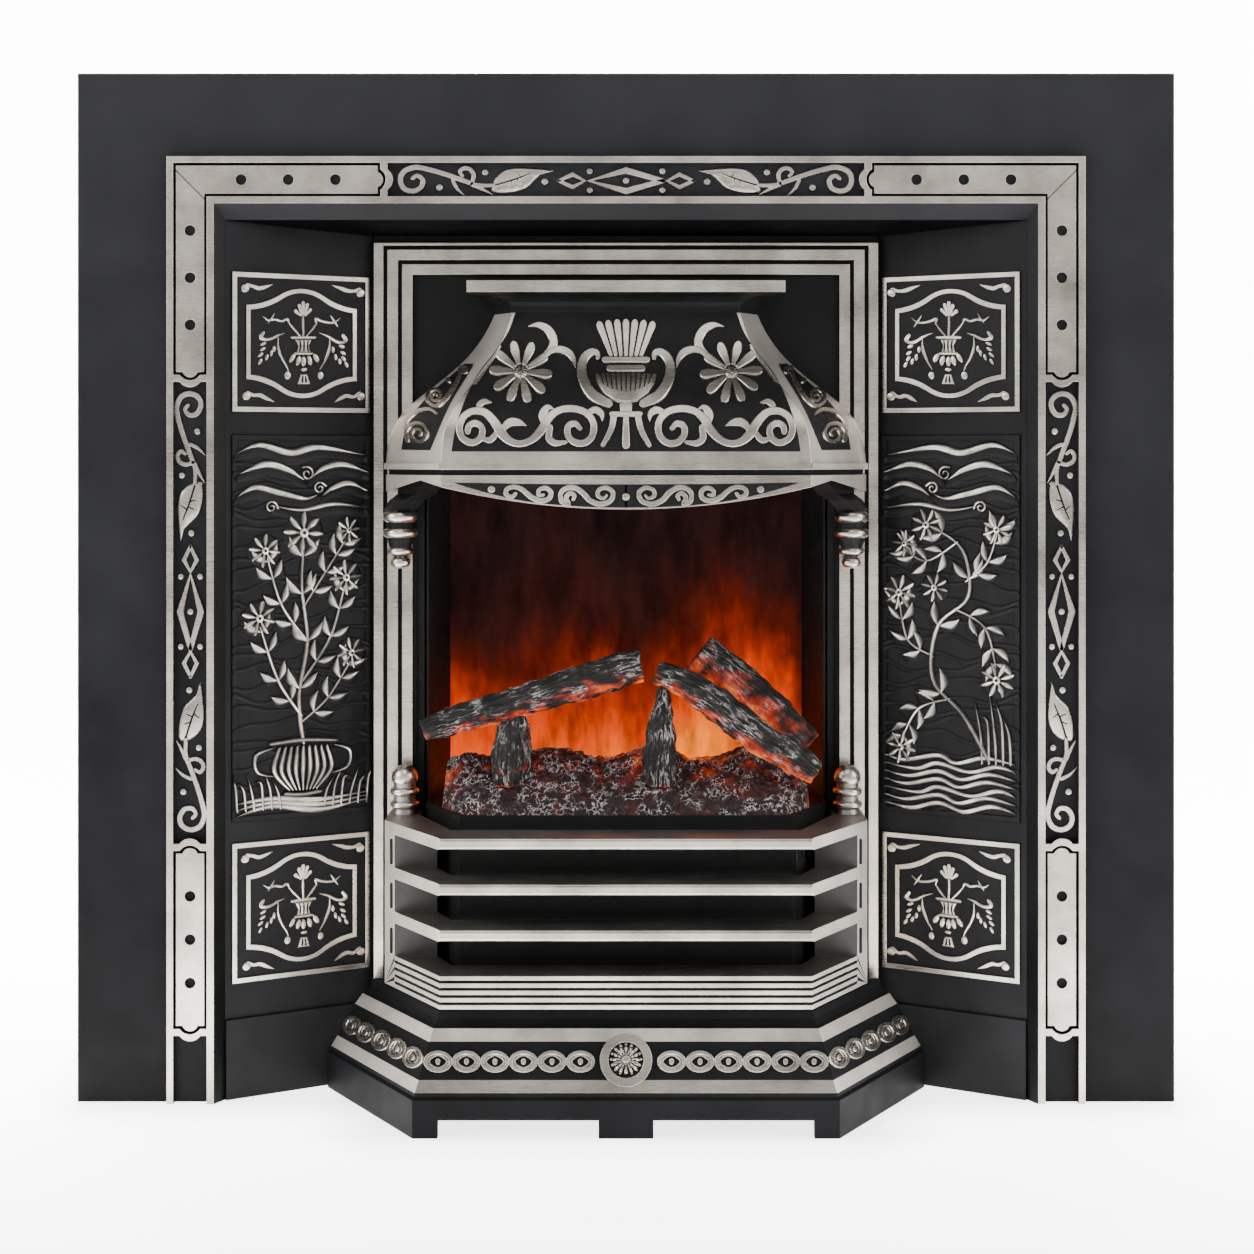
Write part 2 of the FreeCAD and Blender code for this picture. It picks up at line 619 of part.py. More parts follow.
def gate(outer_half, outer_top, inner_half, inner_top, foot=0):
    """A band that stands on the hearth and goes up, across and down again."""
    return [(-outer_half, foot), (-inner_half, foot), (-inner_half, inner_top), (inner_half, inner_top),
            (inner_half, foot), (outer_half, foot), (outer_half, outer_top), (-outer_half, outer_top)]


def arc_radius(half_chord, rise):
    return (half_chord * half_chord + rise * rise) / (2 * rise)


def hexagon(x, y, across):
    """Points of a nut or bolt head about a middle."""
    radius = across / math.sqrt(3)
    corners = [math.radians(60 * corner) for corner in range(6)]
    return [(x + radius * math.cos(turn), y + radius * math.sin(turn)) for turn in corners]


nodes = []


def node(thing):
    """Keeps a finished sub-part for writing."""
    nodes.append(thing)
    return thing


def group(label, pieces):
    """One sub-part of several separate solids."""
    compound = doc.addObject("Part::Compound", label)
    compound.Label = label
    compound.Links = pieces
    doc.recompute()
    return node(compound)


def pair(body, left_label):
    """Keeps a left-hand piece and its mirrored twin."""
    node(body)
    node(mirrored(body, left_label.replace("left", "right")))


# Front frame: plate, border and reveal
def lobed_band(near, far, low, high, near_lobe, far_lobe):
    """A bar along one axis whose ends swell outwards (1), are hollowed (-1) or stay square (0)."""
    radius = arc_radius((high - low) / 2 - S.strip_shoulder, S.strip_lobe)
    far_start = [(far, low + S.strip_shoulder, radius * far_lobe)] if far_lobe else []
    far_end = [(far, high - S.strip_shoulder)] if far_lobe else []
    near_start = [(near, high - S.strip_shoulder, radius * near_lobe)] if near_lobe else []
    near_end = [(near, low + S.strip_shoulder)] if near_lobe else []
    return [(near, low), (far, low), *far_start, *far_end, (far, high), (near, high), *near_start, *near_end]


def on_border(outline, upright, side):
    """Lays an outline of places along and across a band on the border's top or on one of its legs."""
    turn = -1 if upright != (side < 0) else 1
    laid = []
    for along, across, *radius in outline:
        x, z = (side * across, along) if upright else (side * along, across)
        laid.append((x, z, *(turn * item for item in radius)))
    return laid


flange_bolt_x = opening_half + S.flange * FLANGE_BOLT_SHARE
head_bolt_z = opening_top + S.flange * FLANGE_BOLT_SHARE
arch_bolt_x = arch_half - S.flange * FLANGE_BOLT_SHARE
lug_bolt_x = S.lug_across - S.lug_width / 2
flange_bolts = [(side * flange_bolt_x, opening_top * share)
                for side in (-1, 1) for share in BOLT_HEIGHT_SHARES]
head_bolts = [(opening_half * share, head_bolt_z) for share in HEAD_BOLT_SHARES]
arch_bolts = [(side * arch_bolt_x, S.arch_height * share)
              for side in (-1, 1) for share in BOLT_HEIGHT_SHARES]
lug_places = [(side, height) for side in (-1, 1) for height in (S.lug_low, S.lug_high)]
lug_bolts = [(side * lug_bolt_x, height) for side, height in lug_places]
bolt_radius = S.bolt_diameter / 2
bolt_hole = (S.bolt_diameter + S.bolt_clearance) / 2


def holes(places, radius):
    return [(x, z, radius) for x, z in places]


def make_front_frame():
    body = new_body("front_frame")
    prism(body, FRONT, S.plate_thickness, 0, rectangle(-plate_half, plate_half, 0, S.plate_height))
    wall_rim = gate(plate_half, S.plate_height, plate_half - S.wall_rim, S.plate_height - S.wall_rim)
    prism(body, FRONT, S.plate_thickness + S.wall_rim_depth, S.plate_thickness, wall_rim)

    def on_front_rim(edge):
        box = edge.BoundBox
        at_front = abs(box.YMin) < 1e-6 and abs(box.YMax) < 1e-6
        return at_front and box.ZMax > 1e-6

    rounded(body, S.plate_edge_round, on_front_rim)
    face = -S.border_rise
    band_low, band_high = border_inner_half + S.inner_rail, border_half - S.outer_rail
    top_low, top_high = border_inner_top + S.inner_rail, S.border_top - S.outer_rail
    prism(body, FRONT, 0, face, gate(border_half, S.border_top, band_high, top_high))
    prism(body, FRONT, 0, face, gate(band_low, top_low, opening_half, opening_top))
    groove = S.border_groove
    strip_low, strip_high = band_low + groove, band_high - groove
    for side in (-1, 1):
        top_strip = lobed_band(S.top_strip_reach, strip_high, top_low + groove, top_high - groove, 1, 0)
        side_strip = lobed_band(S.side_strip_end, top_high - groove, strip_low, strip_high, 1, 0)
        low_strip = lobed_band(S.low_strip_end, S.low_strip_top, strip_low, strip_high, 1, 1)
        prism(body, FRONT, 0, -S.strip_rise, on_border(top_strip, False, side))
        prism(body, FRONT, 0, -S.strip_rise, on_border(side_strip, True, side))
        prism(body, FRONT, 0, -S.strip_rise, on_border(low_strip, True, side))
        reach = groove + S.cross_rail
        crossings = (
            (S.top_strip_reach - reach, S.top_strip_reach - groove, top_low, top_high, 1, False),
            (S.side_strip_end - reach, S.side_strip_end - groove, band_low, band_high, 1, True),
            (S.low_strip_top + groove, S.low_strip_top + reach, band_low, band_high, -1, True),
            (S.low_strip_end - reach, S.low_strip_end - groove, band_low, band_high, 1, True),
        )
        for near, far, low, high, lobe, upright in crossings:
            rail = lobed_band(near, far, low, high, lobe, -lobe)
            prism(body, FRONT, 0, face, on_border(rail, upright, side))
    strip_middle_x = (band_low + band_high) / 2
    strip_middle_z = (top_low + top_high) / 2
    low_middle = (S.low_strip_end + S.low_strip_top) / 2
    hollows = []
    for side in (-1, 1):
        for step in range(3):
            back = S.hollow_first + S.hollow_pitch * step
            hollows.append((side * (border_half - back), strip_middle_z))
            hollows.append((side * strip_middle_x, S.border_top - back))
            hollows.append((side * strip_middle_x, low_middle + S.low_hollow_pitch * (step - 1)))
    bottom = S.hollow_depth - S.strip_rise
    prism(body, FRONT, -S.strip_rise, bottom, *holes(hollows, S.hollow_diameter / 2), cut=True)
    reveal = [(face, standing_rectangle(border_inner_half, border_inner_top)),
              (S.plate_thickness, standing_rectangle(opening_half, opening_top))]
    lofted(body, FRONT, reveal, ruled=True, cut=True)
    bolted = holes(flange_bolts + head_bolts + lug_bolts, bolt_radius)
    prism(body, FRONT, S.plate_thickness, S.plate_thickness - S.bolt_bite, *bolted, cut=True)
    return node(body)


# Head and splayed side panels
head_slope = (opening_top - S.arch_height) / splay_depth
panel_back = S.plate_thickness + S.panel_thickness
flange_back = arch_back + S.panel_thickness


def make_head_panel():
    body = new_body("head_panel")
    reach = opening_half + S.flange
    rear_low = S.arch_height - S.panel_thickness * head_slope
    slab = [(S.plate_thickness, opening_top), (flange_back, rear_low),
            (flange_back, rear_low + S.panel_thickness), (panel_back, opening_top + S.panel_thickness),
            (panel_back, opening_top + S.flange), (S.plate_thickness, opening_top + S.flange)]
    prism(body, SIDE, -reach, reach, slab)
    for side in (-1, 1):
        outside = [(side * reach, panel_back), (side * (arch_half + S.flange), flange_back),
                   (side * (arch_half + S.flange), flange_back + S.overrun),
                   (side * (reach + S.overrun), flange_back + S.overrun),
                   (side * (reach + S.overrun), panel_back)]
        prism(body, PLAN, S.arch_height - S.flange, opening_top + S.flange * 2, outside, cut=True)
    lip_half = arch_half - S.flange - S.seat_clearance
    lip = rectangle(-lip_half, lip_half, S.arch_height - S.flange, S.arch_height)
    prism(body, FRONT, arch_back, flange_back, lip)
    prism(body, FRONT, panel_back, S.plate_thickness, *holes(head_bolts, bolt_hole), cut=True)
    return node(body)


def make_side_panel():
    body = new_body("side_panel_left")
    gap = S.panel_thickness / sine(splay_angle)
    spread = 1 / tangent(splay_angle)
    section = [(-opening_half, S.plate_thickness), (-opening_half - S.flange, S.plate_thickness),
               (-opening_half - S.flange, panel_back),
               (-opening_half - gap + S.panel_thickness * spread, panel_back),
               (-opening_half - gap + (splay_depth + S.panel_thickness) * spread, flange_back),
               (-arch_half + S.flange, flange_back), (-arch_half + S.flange, arch_back),
               (-arch_half, arch_back)]
    prism(body, PLAN, 0, opening_top, section)
    far = flange_back + S.overrun
    above = [(S.plate_thickness, opening_top), (far, opening_top - (far - S.plate_thickness) * head_slope),
             (far, opening_top + S.overrun), (S.plate_thickness, opening_top + S.overrun)]
    prism(body, SIDE, -plate_half, 0, above, cut=True)
    step_end = (S.arch_setback - S.plate_thickness) / sine(splay_angle)
    prism(body, SPLAY, 0, S.base_step_rise, rectangle(0, step_end, 0, S.base_step_height))
    for low, high in tile_heights:
        clear = S.seat_clearance
        seat = rectangle(tile_start - clear, tile_end + clear, low - clear, high + clear)
        prism(body, SPLAY, 0, -S.tile_seat, seat, cut=True)
        ledge = S.tile_ledge
        window = rectangle(tile_start + ledge, tile_end - ledge, low + ledge, high - ledge)
        prism(body, SPLAY, -S.tile_seat, -S.panel_thickness - S.overrun, window, cut=True)
    left_flange = [place for place in flange_bolts if place[0].number < 0]
    left_arch = [place for place in arch_bolts if place[0].number < 0]
    prism(body, FRONT, panel_back, S.plate_thickness, *holes(left_flange, bolt_hole), cut=True)
    prism(body, FRONT, flange_back, arch_back, *holes(left_arch, bolt_hole), cut=True)
    pair(body, "side_panel_left")


# Relief tiles and the clamps behind them
tile_start = (splay_length - S.tile_width) / 2
tile_end = tile_start + S.tile_width
tile_middle = splay_length / 2
tile_heights = [(S.upper_tile_base, S.upper_tile_base + S.square_tile_height),
                (S.tall_tile_base, S.tall_tile_base + S.tall_tile_height),
                (S.lower_tile_base, S.lower_tile_base + S.square_tile_height)]
tile_face = S.tile_thickness - S.tile_seat
tile_field = tile_face - S.tile_field_depth
clamp_back = S.panel_thickness + S.clamp_thickness
stud_places = [(tile_middle, (tile_heights[0][0] + tile_heights[0][1]) / 2),
               (tile_middle, tile_heights[1][0] + S.tall_tile_height * TALL_STUD_SHARE),
               (tile_middle, tile_heights[1][1] - S.tall_tile_height * TALL_STUD_SHARE),
               (tile_middle, (tile_heights[2][0] + tile_heights[2][1]) / 2)]


def peaked_outline(left, right, low, high):
    """An upright frame whose top and bottom rise in a soft point."""
    middle = (left + right) / 2
    brow = (right - left) * PEAK_BROW_SHARE
    climb = S.tile_peak * PEAK_CLIMB_SHARE
    hollow = arc_radius(length_of(right - middle - brow, climb) / 2, climb * PEAK_HOLLOW_SHARE)
    crown = arc_radius(brow, S.tile_peak - climb)
    return [(left, low, -hollow), (middle - brow, low - climb, crown), (middle + brow, low - climb, -hollow),
            (right, low), (right, high, -hollow), (middle + brow, high + climb, crown),
            (middle - brow, high + climb, -hollow), (left, high)]


def make_tile(label, low, high, studs, square):
    body = new_body(label)
    prism(body, SPLAY, -S.tile_seat, tile_face, rectangle(tile_start, tile_end, low, high))
    rim = S.tile_rim
    field = rectangle(tile_start + rim, tile_end - rim, low + rim, high - rim)
    prism(body, SPLAY, tile_face, tile_field, field, cut=True)
    if square:
        inset, lift = S.tile_rim + S.tile_frame_gap, S.tile_rim + S.tile_frame_gap + S.tile_peak
        band = S.tile_frame_width
        outer = peaked_outline(tile_start + inset, tile_end - inset, low + lift, high - lift)
        inset, lift = inset + band, lift + band
        inner = peaked_outline(tile_start + inset, tile_end - inset, low + lift, high - lift)
        prism(body, SPLAY, tile_field, tile_face, outer, inner)
    else:
        across, up = S.tile_width * TALL_CROWN_SHARE, S.tall_tile_height * TALL_CROWN_SHARE
        centre = (low + high) / 2
        crown = rectangle(tile_middle - across, tile_middle + across, centre - up, centre + up)
        lofted(body, SPLAY, [(tile_field, field), (tile_field + S.tile_crown, crown)], ruled=True)
    prism(body, SPLAY, -S.tile_seat, -clamp_back - S.stud_end, *holes(studs, S.stud_diameter / 2))
    pair(body, label)


def make_tiles():
    upper, tall, lower = tile_heights
    make_tile("upper_tile_left", *upper, stud_places[:1], True)
    make_tile("tall_tile_left", *tall, stud_places[1:3], False)
    make_tile("lower_tile_left", *lower, stud_places[3:], True)


def make_clamps():
    body = new_body("tile_clamp_left")
    half = S.clamp_width / 2
    bar = rectangle(tile_middle - half, tile_middle + half, S.base_step_height, S.arch_height - S.flange)
    bored = holes(stud_places, (S.stud_diameter + S.bolt_clearance) / 2)
    prism(body, SPLAY, -S.panel_thickness, -clamp_back, bar, *bored)
    pair(body, "tile_clamp_left")
    nuts = new_body("tile_nuts_left")
    nuts.AllowCompound = True
    flats = [hexagon(x, z, S.nut_across) for x, z in stud_places]
    threads = holes(stud_places, S.stud_diameter / 2 + S.running_clearance)
    prism(nuts, SPLAY, -clamp_back, -clamp_back - S.nut_height, *flats, *threads)
    group("tile_nuts", [nuts, mirrored(nuts, "tile_nuts_right")])


# Arch panel
def bell_section(drawn, inset=0):
    """Half widths at the back and front of the hood, and its front, where it has drawn in by a share."""
    back = hood_half + (S.hood_neck_width / 2 - hood_half) * drawn
    front = hood_front_half + (S.hood_neck_front_width / 2 - hood_front_half) * drawn
    reach = S.hood_reach + (S.hood_neck_reach - S.hood_reach) * drawn
    return back - inset, front - inset, S.arch_setback - reach + inset


def hood_outline(back_half, front_half, front, beyond=0):
    """The hood's outline from above, open to the arch panel and run on past it where it is a cut."""
    back = arch_rail_face
    rear_half = back_half + (back_half - front_half) * beyond / (back - front)
    back = back + beyond
    return [(-rear_half, back), (-front_half, front), (front_half, front), (rear_half, back)]


hood_bolt_high = S.hood_neck_height - S.hood_boss_radius
hood_bolt_low = S.hood_base_height + S.hood_boss_radius
upper_hood_bolts = [(side * (S.hood_neck_width / 2 - S.hood_bolt_inset), hood_bolt_high) for side in (-1, 1)]
lower_hood_bolts = [(side * (mouth_half + S.hood_bolt_edge), hood_bolt_low) for side in (-1, 1)]
hood_bolt_places = upper_hood_bolts + lower_hood_bolts


def make_arch_panel():
    body = new_body("arch_panel")
    prism(body, FRONT, arch_back, S.arch_setback, rectangle(-arch_half, arch_half, 0, S.arch_height))
    half, top = arch_half, S.arch_height - S.arch_top_band
    rails = ((S.arch_edge_strip, S.arch_top_line), (S.arch_rail, S.arch_rail), (S.arch_rail, S.arch_rail))
    for width, height in rails:
        prism(body, FRONT, S.arch_setback, arch_rail_face, gate(half, top, half - width, top - height))
        half, top = half - width - S.arch_groove, top - height - S.arch_groove
    edge = S.hood_wall / 2
    right = []
    for up, drawn in BELL_SHARES:
        back_half, _, _ = bell_section(drawn, edge)
        right.append((back_half, S.hood_base_height + (S.hood_neck_height - S.hood_base_height) * up))
    left = [(-x, z) for x, z in reversed(right)]
    prism(body, FRONT, S.arch_setback, arch_rail_face, right + left)
    prism(body, FRONT, arch_rail_face, arch_back, standing_rectangle(mouth_half, S.mouth_height), cut=True)
    prism(body, FRONT, arch_back, arch_back - S.bolt_bite, *holes(arch_bolts, bolt_radius), cut=True)
    prism(body, FRONT, arch_back, arch_rail_face, *holes(hood_bolt_places, bolt_hole), cut=True)
    for side in (-1, 1):
        inner, outer = side * S.bars_inner_width / 2, side * S.bars_width / 2
        ledge = rectangle(inner, outer, S.bars_base - S.rest_height, S.bars_base)
        prism(body, FRONT, arch_rail_face, arch_rail_face - S.rest_length, ledge)
    return node(body)


# Hood
def make_hood():
    body = new_body("hood")
    height = S.hood_neck_height - S.hood_base_height
    bell = [(S.hood_base_height + height * up, hood_outline(*bell_section(drawn)))
            for up, drawn in BELL_SHARES]
    lofted(body, PLAN, bell)
    neck = bell_section(1)
    fascia_top = S.hood_neck_height + S.hood_fascia
    prism(body, PLAN, S.hood_neck_height, fascia_top, hood_outline(*neck))
    shelf_half, shelf_front = S.shelf_width / 2, S.arch_setback - S.shelf_reach
    cove = []
    for up, out in COVE_SHARES:
        back_half = neck[0] + (shelf_half - neck[0]) * out
        front_half = neck[1] + (shelf_half - neck[1]) * out
        front = neck[2] + (shelf_front - neck[2]) * out
        cove.append((fascia_top + S.hood_cove * up, hood_outline(back_half, front_half, front)))
    lofted(body, PLAN, cove, ruled=True)
    shelf_base = fascia_top + S.hood_cove
    shelf = [(-shelf_half, arch_rail_face), (-shelf_half, shelf_front), (shelf_half, shelf_front),
             (shelf_half, arch_rail_face)]
    prism(body, PLAN, shelf_base, shelf_base + S.shelf_thickness, shelf)
    bead_base = S.hood_base_height - S.hood_bead
    prism(body, PLAN, bead_base, S.hood_base_height, hood_outline(*bell_section(0, -S.hood_bead_step)))
    prism(body, PLAN, valance_top, bead_base, hood_outline(*bell_section(0, S.hood_groove_depth)))
    prism(body, PLAN, hood_foot, valance_top, hood_outline(*bell_section(0)))
    hollow = S.hood_wall + S.hood_groove_depth
    low_hollow = hood_outline(*bell_section(0, hollow), beyond=S.overrun)
    prism(body, PLAN, hood_foot, S.hood_base_height, low_hollow, cut=True)
    bell_hollow = [(S.hood_base_height + height * up * HOLLOW_TOP_SHARE,
                    hood_outline(*bell_section(drawn, hollow), beyond=S.overrun))
                   for up, drawn in BELL_SHARES]
    lofted(body, PLAN, bell_hollow, cut=True)
    peak = hood_foot + S.valance_rise
    end = hood_half + S.overrun
    under = hood_foot - S.overrun
    sweep = arc_radius(S.valance_peak_reach, S.valance_rise)
    below = [(-end, under), (end, under), (end, peak - S.valance_end_drop),
             (S.valance_peak_reach, peak, -sweep), (-S.valance_peak_reach, peak),
             (-end, peak - S.valance_end_drop)]
    prism(body, FRONT, hood_front - S.overrun, arch_rail_face + S.overrun, below, cut=True)
    boss_front = arch_rail_face - S.hood_boss_length
    prism(body, FRONT, arch_rail_face, boss_front, *holes(hood_bolt_places, S.hood_boss_radius))
    bite = arch_rail_face - S.bolt_bite - S.arch_rise
    prism(body, FRONT, arch_rail_face, bite, *holes(hood_bolt_places, bolt_radius), cut=True)
    return node(body)


def make_bolts(label, sets):
    """Bolts in one node: each set has its places, the face under its heads and the depth of its tips."""
    body = new_body(label)
    body.AllowCompound = True
    for places, face, tip in sets:
        prism(body, FRONT, face, face + S.nut_height, *[hexagon(x, z, S.nut_across) for x, z in places])
        prism(body, FRONT, face, tip, *holes(places, bolt_radius - S.running_clearance))
    return node(body)


def make_casting_bolts():
    plate_tip = S.plate_thickness - S.bolt_bite
    make_bolts("frame_bolts", [(flange_bolts + head_bolts, panel_back, plate_tip),
                               (arch_bolts, flange_back, arch_back - S.bolt_bite)])
    make_bolts("lug_bolts", [(lug_bolts, S.plate_thickness + S.lug_thickness, plate_tip)])
    make_bolts("hood_bolts", [(hood_bolt_places, arch_back, arch_rail_face - S.bolt_bite)])


# Corbels with turned pendants
pendant_y = S.arch_setback - S.pendant_stand
PENDANT = View("XZ_Plane", -1, x=-S.pendant_reach)


def beads(shares, top, height, radius, rising):
    """Edges of a turned piece from one end to the other, with a round bead at each row of shares."""
    points = []
    sign = 1 if rising else -1
    for begin, end, root, bead in shares:
        low, high = top + height * begin * sign, top + height * end * sign
        swell = arc_radius(height * (end - begin) / 2, radius * (bead - root))
        points += [(radius * root, low, swell * sign), (radius * root, high)]
    return points


def make_corbel():
    body = new_body("corbel_left")
    edge = beads(PENDANT_SHARES, S.pendant_top, S.pendant_height, S.pendant_radius, False)
    foot = S.pendant_top - S.pendant_height
    outline = [(0, S.pendant_top), (0, foot), *mirror_order(edge)]
    turned(body, PENDANT, outline, pendant_y)
    run_x, run_y = hood_half - hood_front_half, arch_rail_face - hood_front
    run = length_of(run_x, run_y)
    along = (run_x / run, -run_y / run)
    inward = (run_y / run, run_x / run)
    sections = []
    for up, shift, spread in CORBEL_SHARES:
        half = S.corbel_half
        middle_x = -S.pendant_reach + inward[0] * S.corbel_shift * shift
        middle_y = pendant_y + inward[1] * S.corbel_shift * shift
        ahead = half + S.corbel_spread * spread
        corners = ((-half * 2, half), (-half * 2, -half), (ahead, -half), (ahead, half))
        section = [(middle_x + along[0] * a + inward[0] * b, middle_y + along[1] * a + inward[1] * b)
                   for a, b in corners]
        sections.append((S.pendant_top + S.corbel_height * up, section))
    lofted(body, PLAN, sections, ruled=True)
    behind = rectangle(-plate_half, 0, arch_rail_face, arch_rail_face + S.pendant_radius * 4)
    prism(body, PLAN, foot, S.pendant_top + S.corbel_height, behind, cut=True)
    pair(body, "corbel_left")


def mirror_order(points):
    """The same run of points and arcs, taken from its other end."""
    turned_points = []
    for index in range(len(points) - 1, -1, -1):
        x, z = points[index][:2]
        arc = points[index - 1][2:] if index else ()
        turned_points.append((x, z, *(-item for item in arc)))
    return turned_points


# Fire bars with their finials
def bars_outline(outset=0):
    """The bars from above, grown at their outer face."""
    front = -S.bars_front - outset
    front_half = S.bars_front_width / 2 + outset * corner_share
    outer = S.bars_width / 2 + outset
    cant_end = front + (outer - front_half) * tangent(S.cant_angle)
    inner_half, inner_front_half = S.bars_inner_width / 2, S.bars_inner_front_width / 2
    back = arch_rail_face - S.bars_gap
    right = [(front_half, front), (outer, cant_end), (outer, back), (inner_half, back),
             (inner_half, back - S.end_block), (inner_front_half, S.bar_depth - S.bars_front)]
    return right + [(-x, y) for x, y in reversed(right)]


def post_outline(side):
    """One end of the bars from above, from the arch panel to the end of its post."""
    outer, inner = S.bars_width / 2, S.bars_inner_width / 2
    back = arch_rail_face - S.bars_gap
    cant_end = -S.bars_front + (outer - S.bars_front_width / 2) * tangent(S.cant_angle)
    step_x, step_y = S.post_width * cosine(S.cant_angle), S.post_width * sine(S.cant_angle)
    inner_start = back - S.end_block
    inner_slope = (inner - S.bars_inner_front_width / 2) / (inner_start - S.bar_depth + S.bars_front)
    near = cant_end - step_y
    corners = [(outer, back), (inner, back), (inner, inner_start),
               (inner - (inner_start - near) * inner_slope, near), (outer - step_x, near), (outer, cant_end)]
    return [(side * x, y) for x, y in corners]


finial_x = (S.bars_width + S.bars_inner_width) / 4
finial_y = S.arch_setback - S.finial_stand
sill_top = S.bars_base + S.sill_height


def make_fire_bars():
    body = new_body("fire_bars")
    prism(body, PLAN, S.bars_base, sill_top, bars_outline(-S.sill_reed_depth))
    reed_pitch = (S.sill_height - S.sill_reed) / (S.sill_reed_count - 1)
    for step in range(int(S.sill_reed_count.number)):
        low = S.bars_base + reed_pitch * step
        prism(body, PLAN, low, low + S.sill_reed, bars_outline())
    for side in (-1, 1):
        prism(body, PLAN, S.bars_base, bars_top, post_outline(side))
    for step in range(int(S.bar_count.number)):
        top = sill_top + S.bar_pitch * (step + 1)
        prism(body, PLAN, top - S.bar_thickness, top, bars_outline())

    def on_bar_front(edge):
        box = edge.BoundBox
        flat = box.ZLength < 1e-6
        return flat and abs(box.YMax + S.bars_front.number) < 1e-6 and box.ZMin > sill_top.number + 1e-6

    rounded(body, S.bar_round, on_bar_front)
    spigot_hole = S.spigot_diameter / 2 + S.running_clearance
    places = [(side * finial_x, finial_y, spigot_hole) for side in (-1, 1)]
    prism(body, PLAN, bars_top, bars_top - S.spigot_length, *places, cut=True)
    return node(body)


FINIAL = View("XZ_Plane", -1, x=-finial_x)


def make_finials():
    body = new_body("finial_left")
    ringed = beads(FINIAL_SHARES, bars_top, S.finial_height, S.finial_radius, True)
    dome_base = bars_top + S.finial_height * FINIAL_DOME_SHARE
    dome_radius = S.finial_radius * FINIAL_CROWN_SHARE
    dome_top = bars_top + S.finial_height
    outline = [(0, bars_top), (S.finial_radius * FINIAL_CROWN_SHARE, bars_top), *ringed,
               (dome_radius * FINIAL_CROWN_SHARE, dome_base),
               (dome_radius, dome_base, arc_radius(dome_radius, dome_top - dome_base)), (0, dome_top)]
    turned(body, FINIAL, outline, finial_y)
    spigot = (-finial_x, finial_y, S.spigot_diameter / 2)
    prism(body, PLAN, bars_top, bars_top - S.spigot_length + S.seat_clearance, spigot)
    pair(body, "finial_left")


# Ash cover and its rosette
cover_front_half = S.cover_front_width / 2
cover_back = arch_rail_face - S.rest_length


def cover_outline(inset, beyond=0):
    """The cover from above where its face stands back by an inset, run on past its back where it is a cut."""
    front = -S.cover_front + inset
    half = cover_front_half - inset * corner_share
    back = S.arch_setback + beyond
    rear_half = half + (back - front) * cant_spread
    return [(-rear_half, back), (-half, front), (half, front), (rear_half, back)]


def make_ash_cover():
    body = new_body("ash_cover")
    face = [(S.cover_height * up, cover_outline(S.cover_inset * back)) for up, back in COVER_SHARES]
    lofted(body, PLAN, face, ruled=True)
    hollow = [(-S.overrun, cover_outline(S.cover_wall, S.overrun))]
    for up, back in COVER_HOLLOW_SHARES:
        hollow.append((S.cover_height * up, cover_outline(S.cover_inset * back + S.cover_wall, S.overrun)))
    lofted(body, PLAN, hollow, ruled=True, cut=True)
    stand_off = (S.base_step_rise + S.cover_gap) / cosine(splay_angle)
    splay_y = S.plate_thickness - stand_off
    corner = opening_half - (cover_back - splay_y) / tangent(splay_angle)
    behind = [(-opening_half, splay_y), (-corner, cover_back), (corner, cover_back), (opening_half, splay_y),
              (opening_half, S.housing_back), (-opening_half, S.housing_back)]
    prism(body, PLAN, 0, S.cover_height, behind, cut=True)
    gaps = []
    for side in (-1, 1):
        near, far = side * S.foot_width / 2, side * (cover_front_half - S.foot_end)
        gaps.append([(near, -S.overrun), (far, -S.overrun), (far, S.foot_rise), (near, S.foot_rise)])
    prism(body, FRONT, -S.cover_front - S.overrun, -S.cover_front + S.cover_wall * 2, *gaps, cut=True)
    through = (0, 0, (S.bolt_diameter + S.bolt_clearance) / 2)
    prism(body, COVER_FACE, 0, -S.cover_wall * 2, through, cut=True)
    return node(body)


(low_up, low_back), (high_up, high_back) = COVER_SHARES[4], COVER_SHARES[5]
face_rise = S.cover_height * (high_up - low_up)
face_run = S.cover_inset * (high_back - low_back)
cover_lean = slope_angle(face_run, face_rise)
rosette_inset = S.cover_inset * low_back + face_run * (S.rosette_height - S.cover_height * low_up) / face_rise
# On the cover's leaning face: x across, y up the face from the rosette's middle.
COVER_FACE = View("XZ_Plane", 1, y=S.rosette_height, depth=S.cover_front - rosette_inset,
                  turn_axis=(1, 0, 0), angle=-cover_lean)


def make_rosette():
    body = new_body("rosette")
    inner = S.rosette_radius - S.rosette_ring
    prism(body, COVER_FACE, 0, S.rosette_lift * 2, (0, 0, inner))
    ring = [(0, 0, S.rosette_radius), (0, 0, inner - S.rosette_lift)]
    prism(body, COVER_FACE, S.rosette_lift, S.rosette_rise, *ring)
    petal = inner * PETAL_SIZE_SHARE
    count = int(S.rosette_petal_count.number)
    petals = []
    for step in range(count):
        turn = math.radians(360 * step / count)
        reach = inner * PETAL_REACH_SHARE
        petals.append((reach * math.cos(turn), reach * math.sin(turn), petal))
    prism(body, COVER_FACE, S.rosette_lift, S.rosette_rise * PETAL_RISE_SHARE, *petals)
    prism(body, COVER_FACE, S.rosette_lift, S.rosette_rise, (0, 0, inner * PETAL_SIZE_SHARE * 2))
    stem_end = -S.cover_wall * 2 - S.nut_height
    prism(body, COVER_FACE, 0, stem_end, (0, 0, bolt_radius))
    node(body)
    nut = new_body("rosette_nut")
    depth = S.cover_wall * cosine(cover_lean)
    prism(nut, COVER_FACE, -depth, -depth - S.nut_height, hexagon(0, 0, S.nut_across),
          (0, 0, bolt_radius + S.running_clearance))
    node(nut)


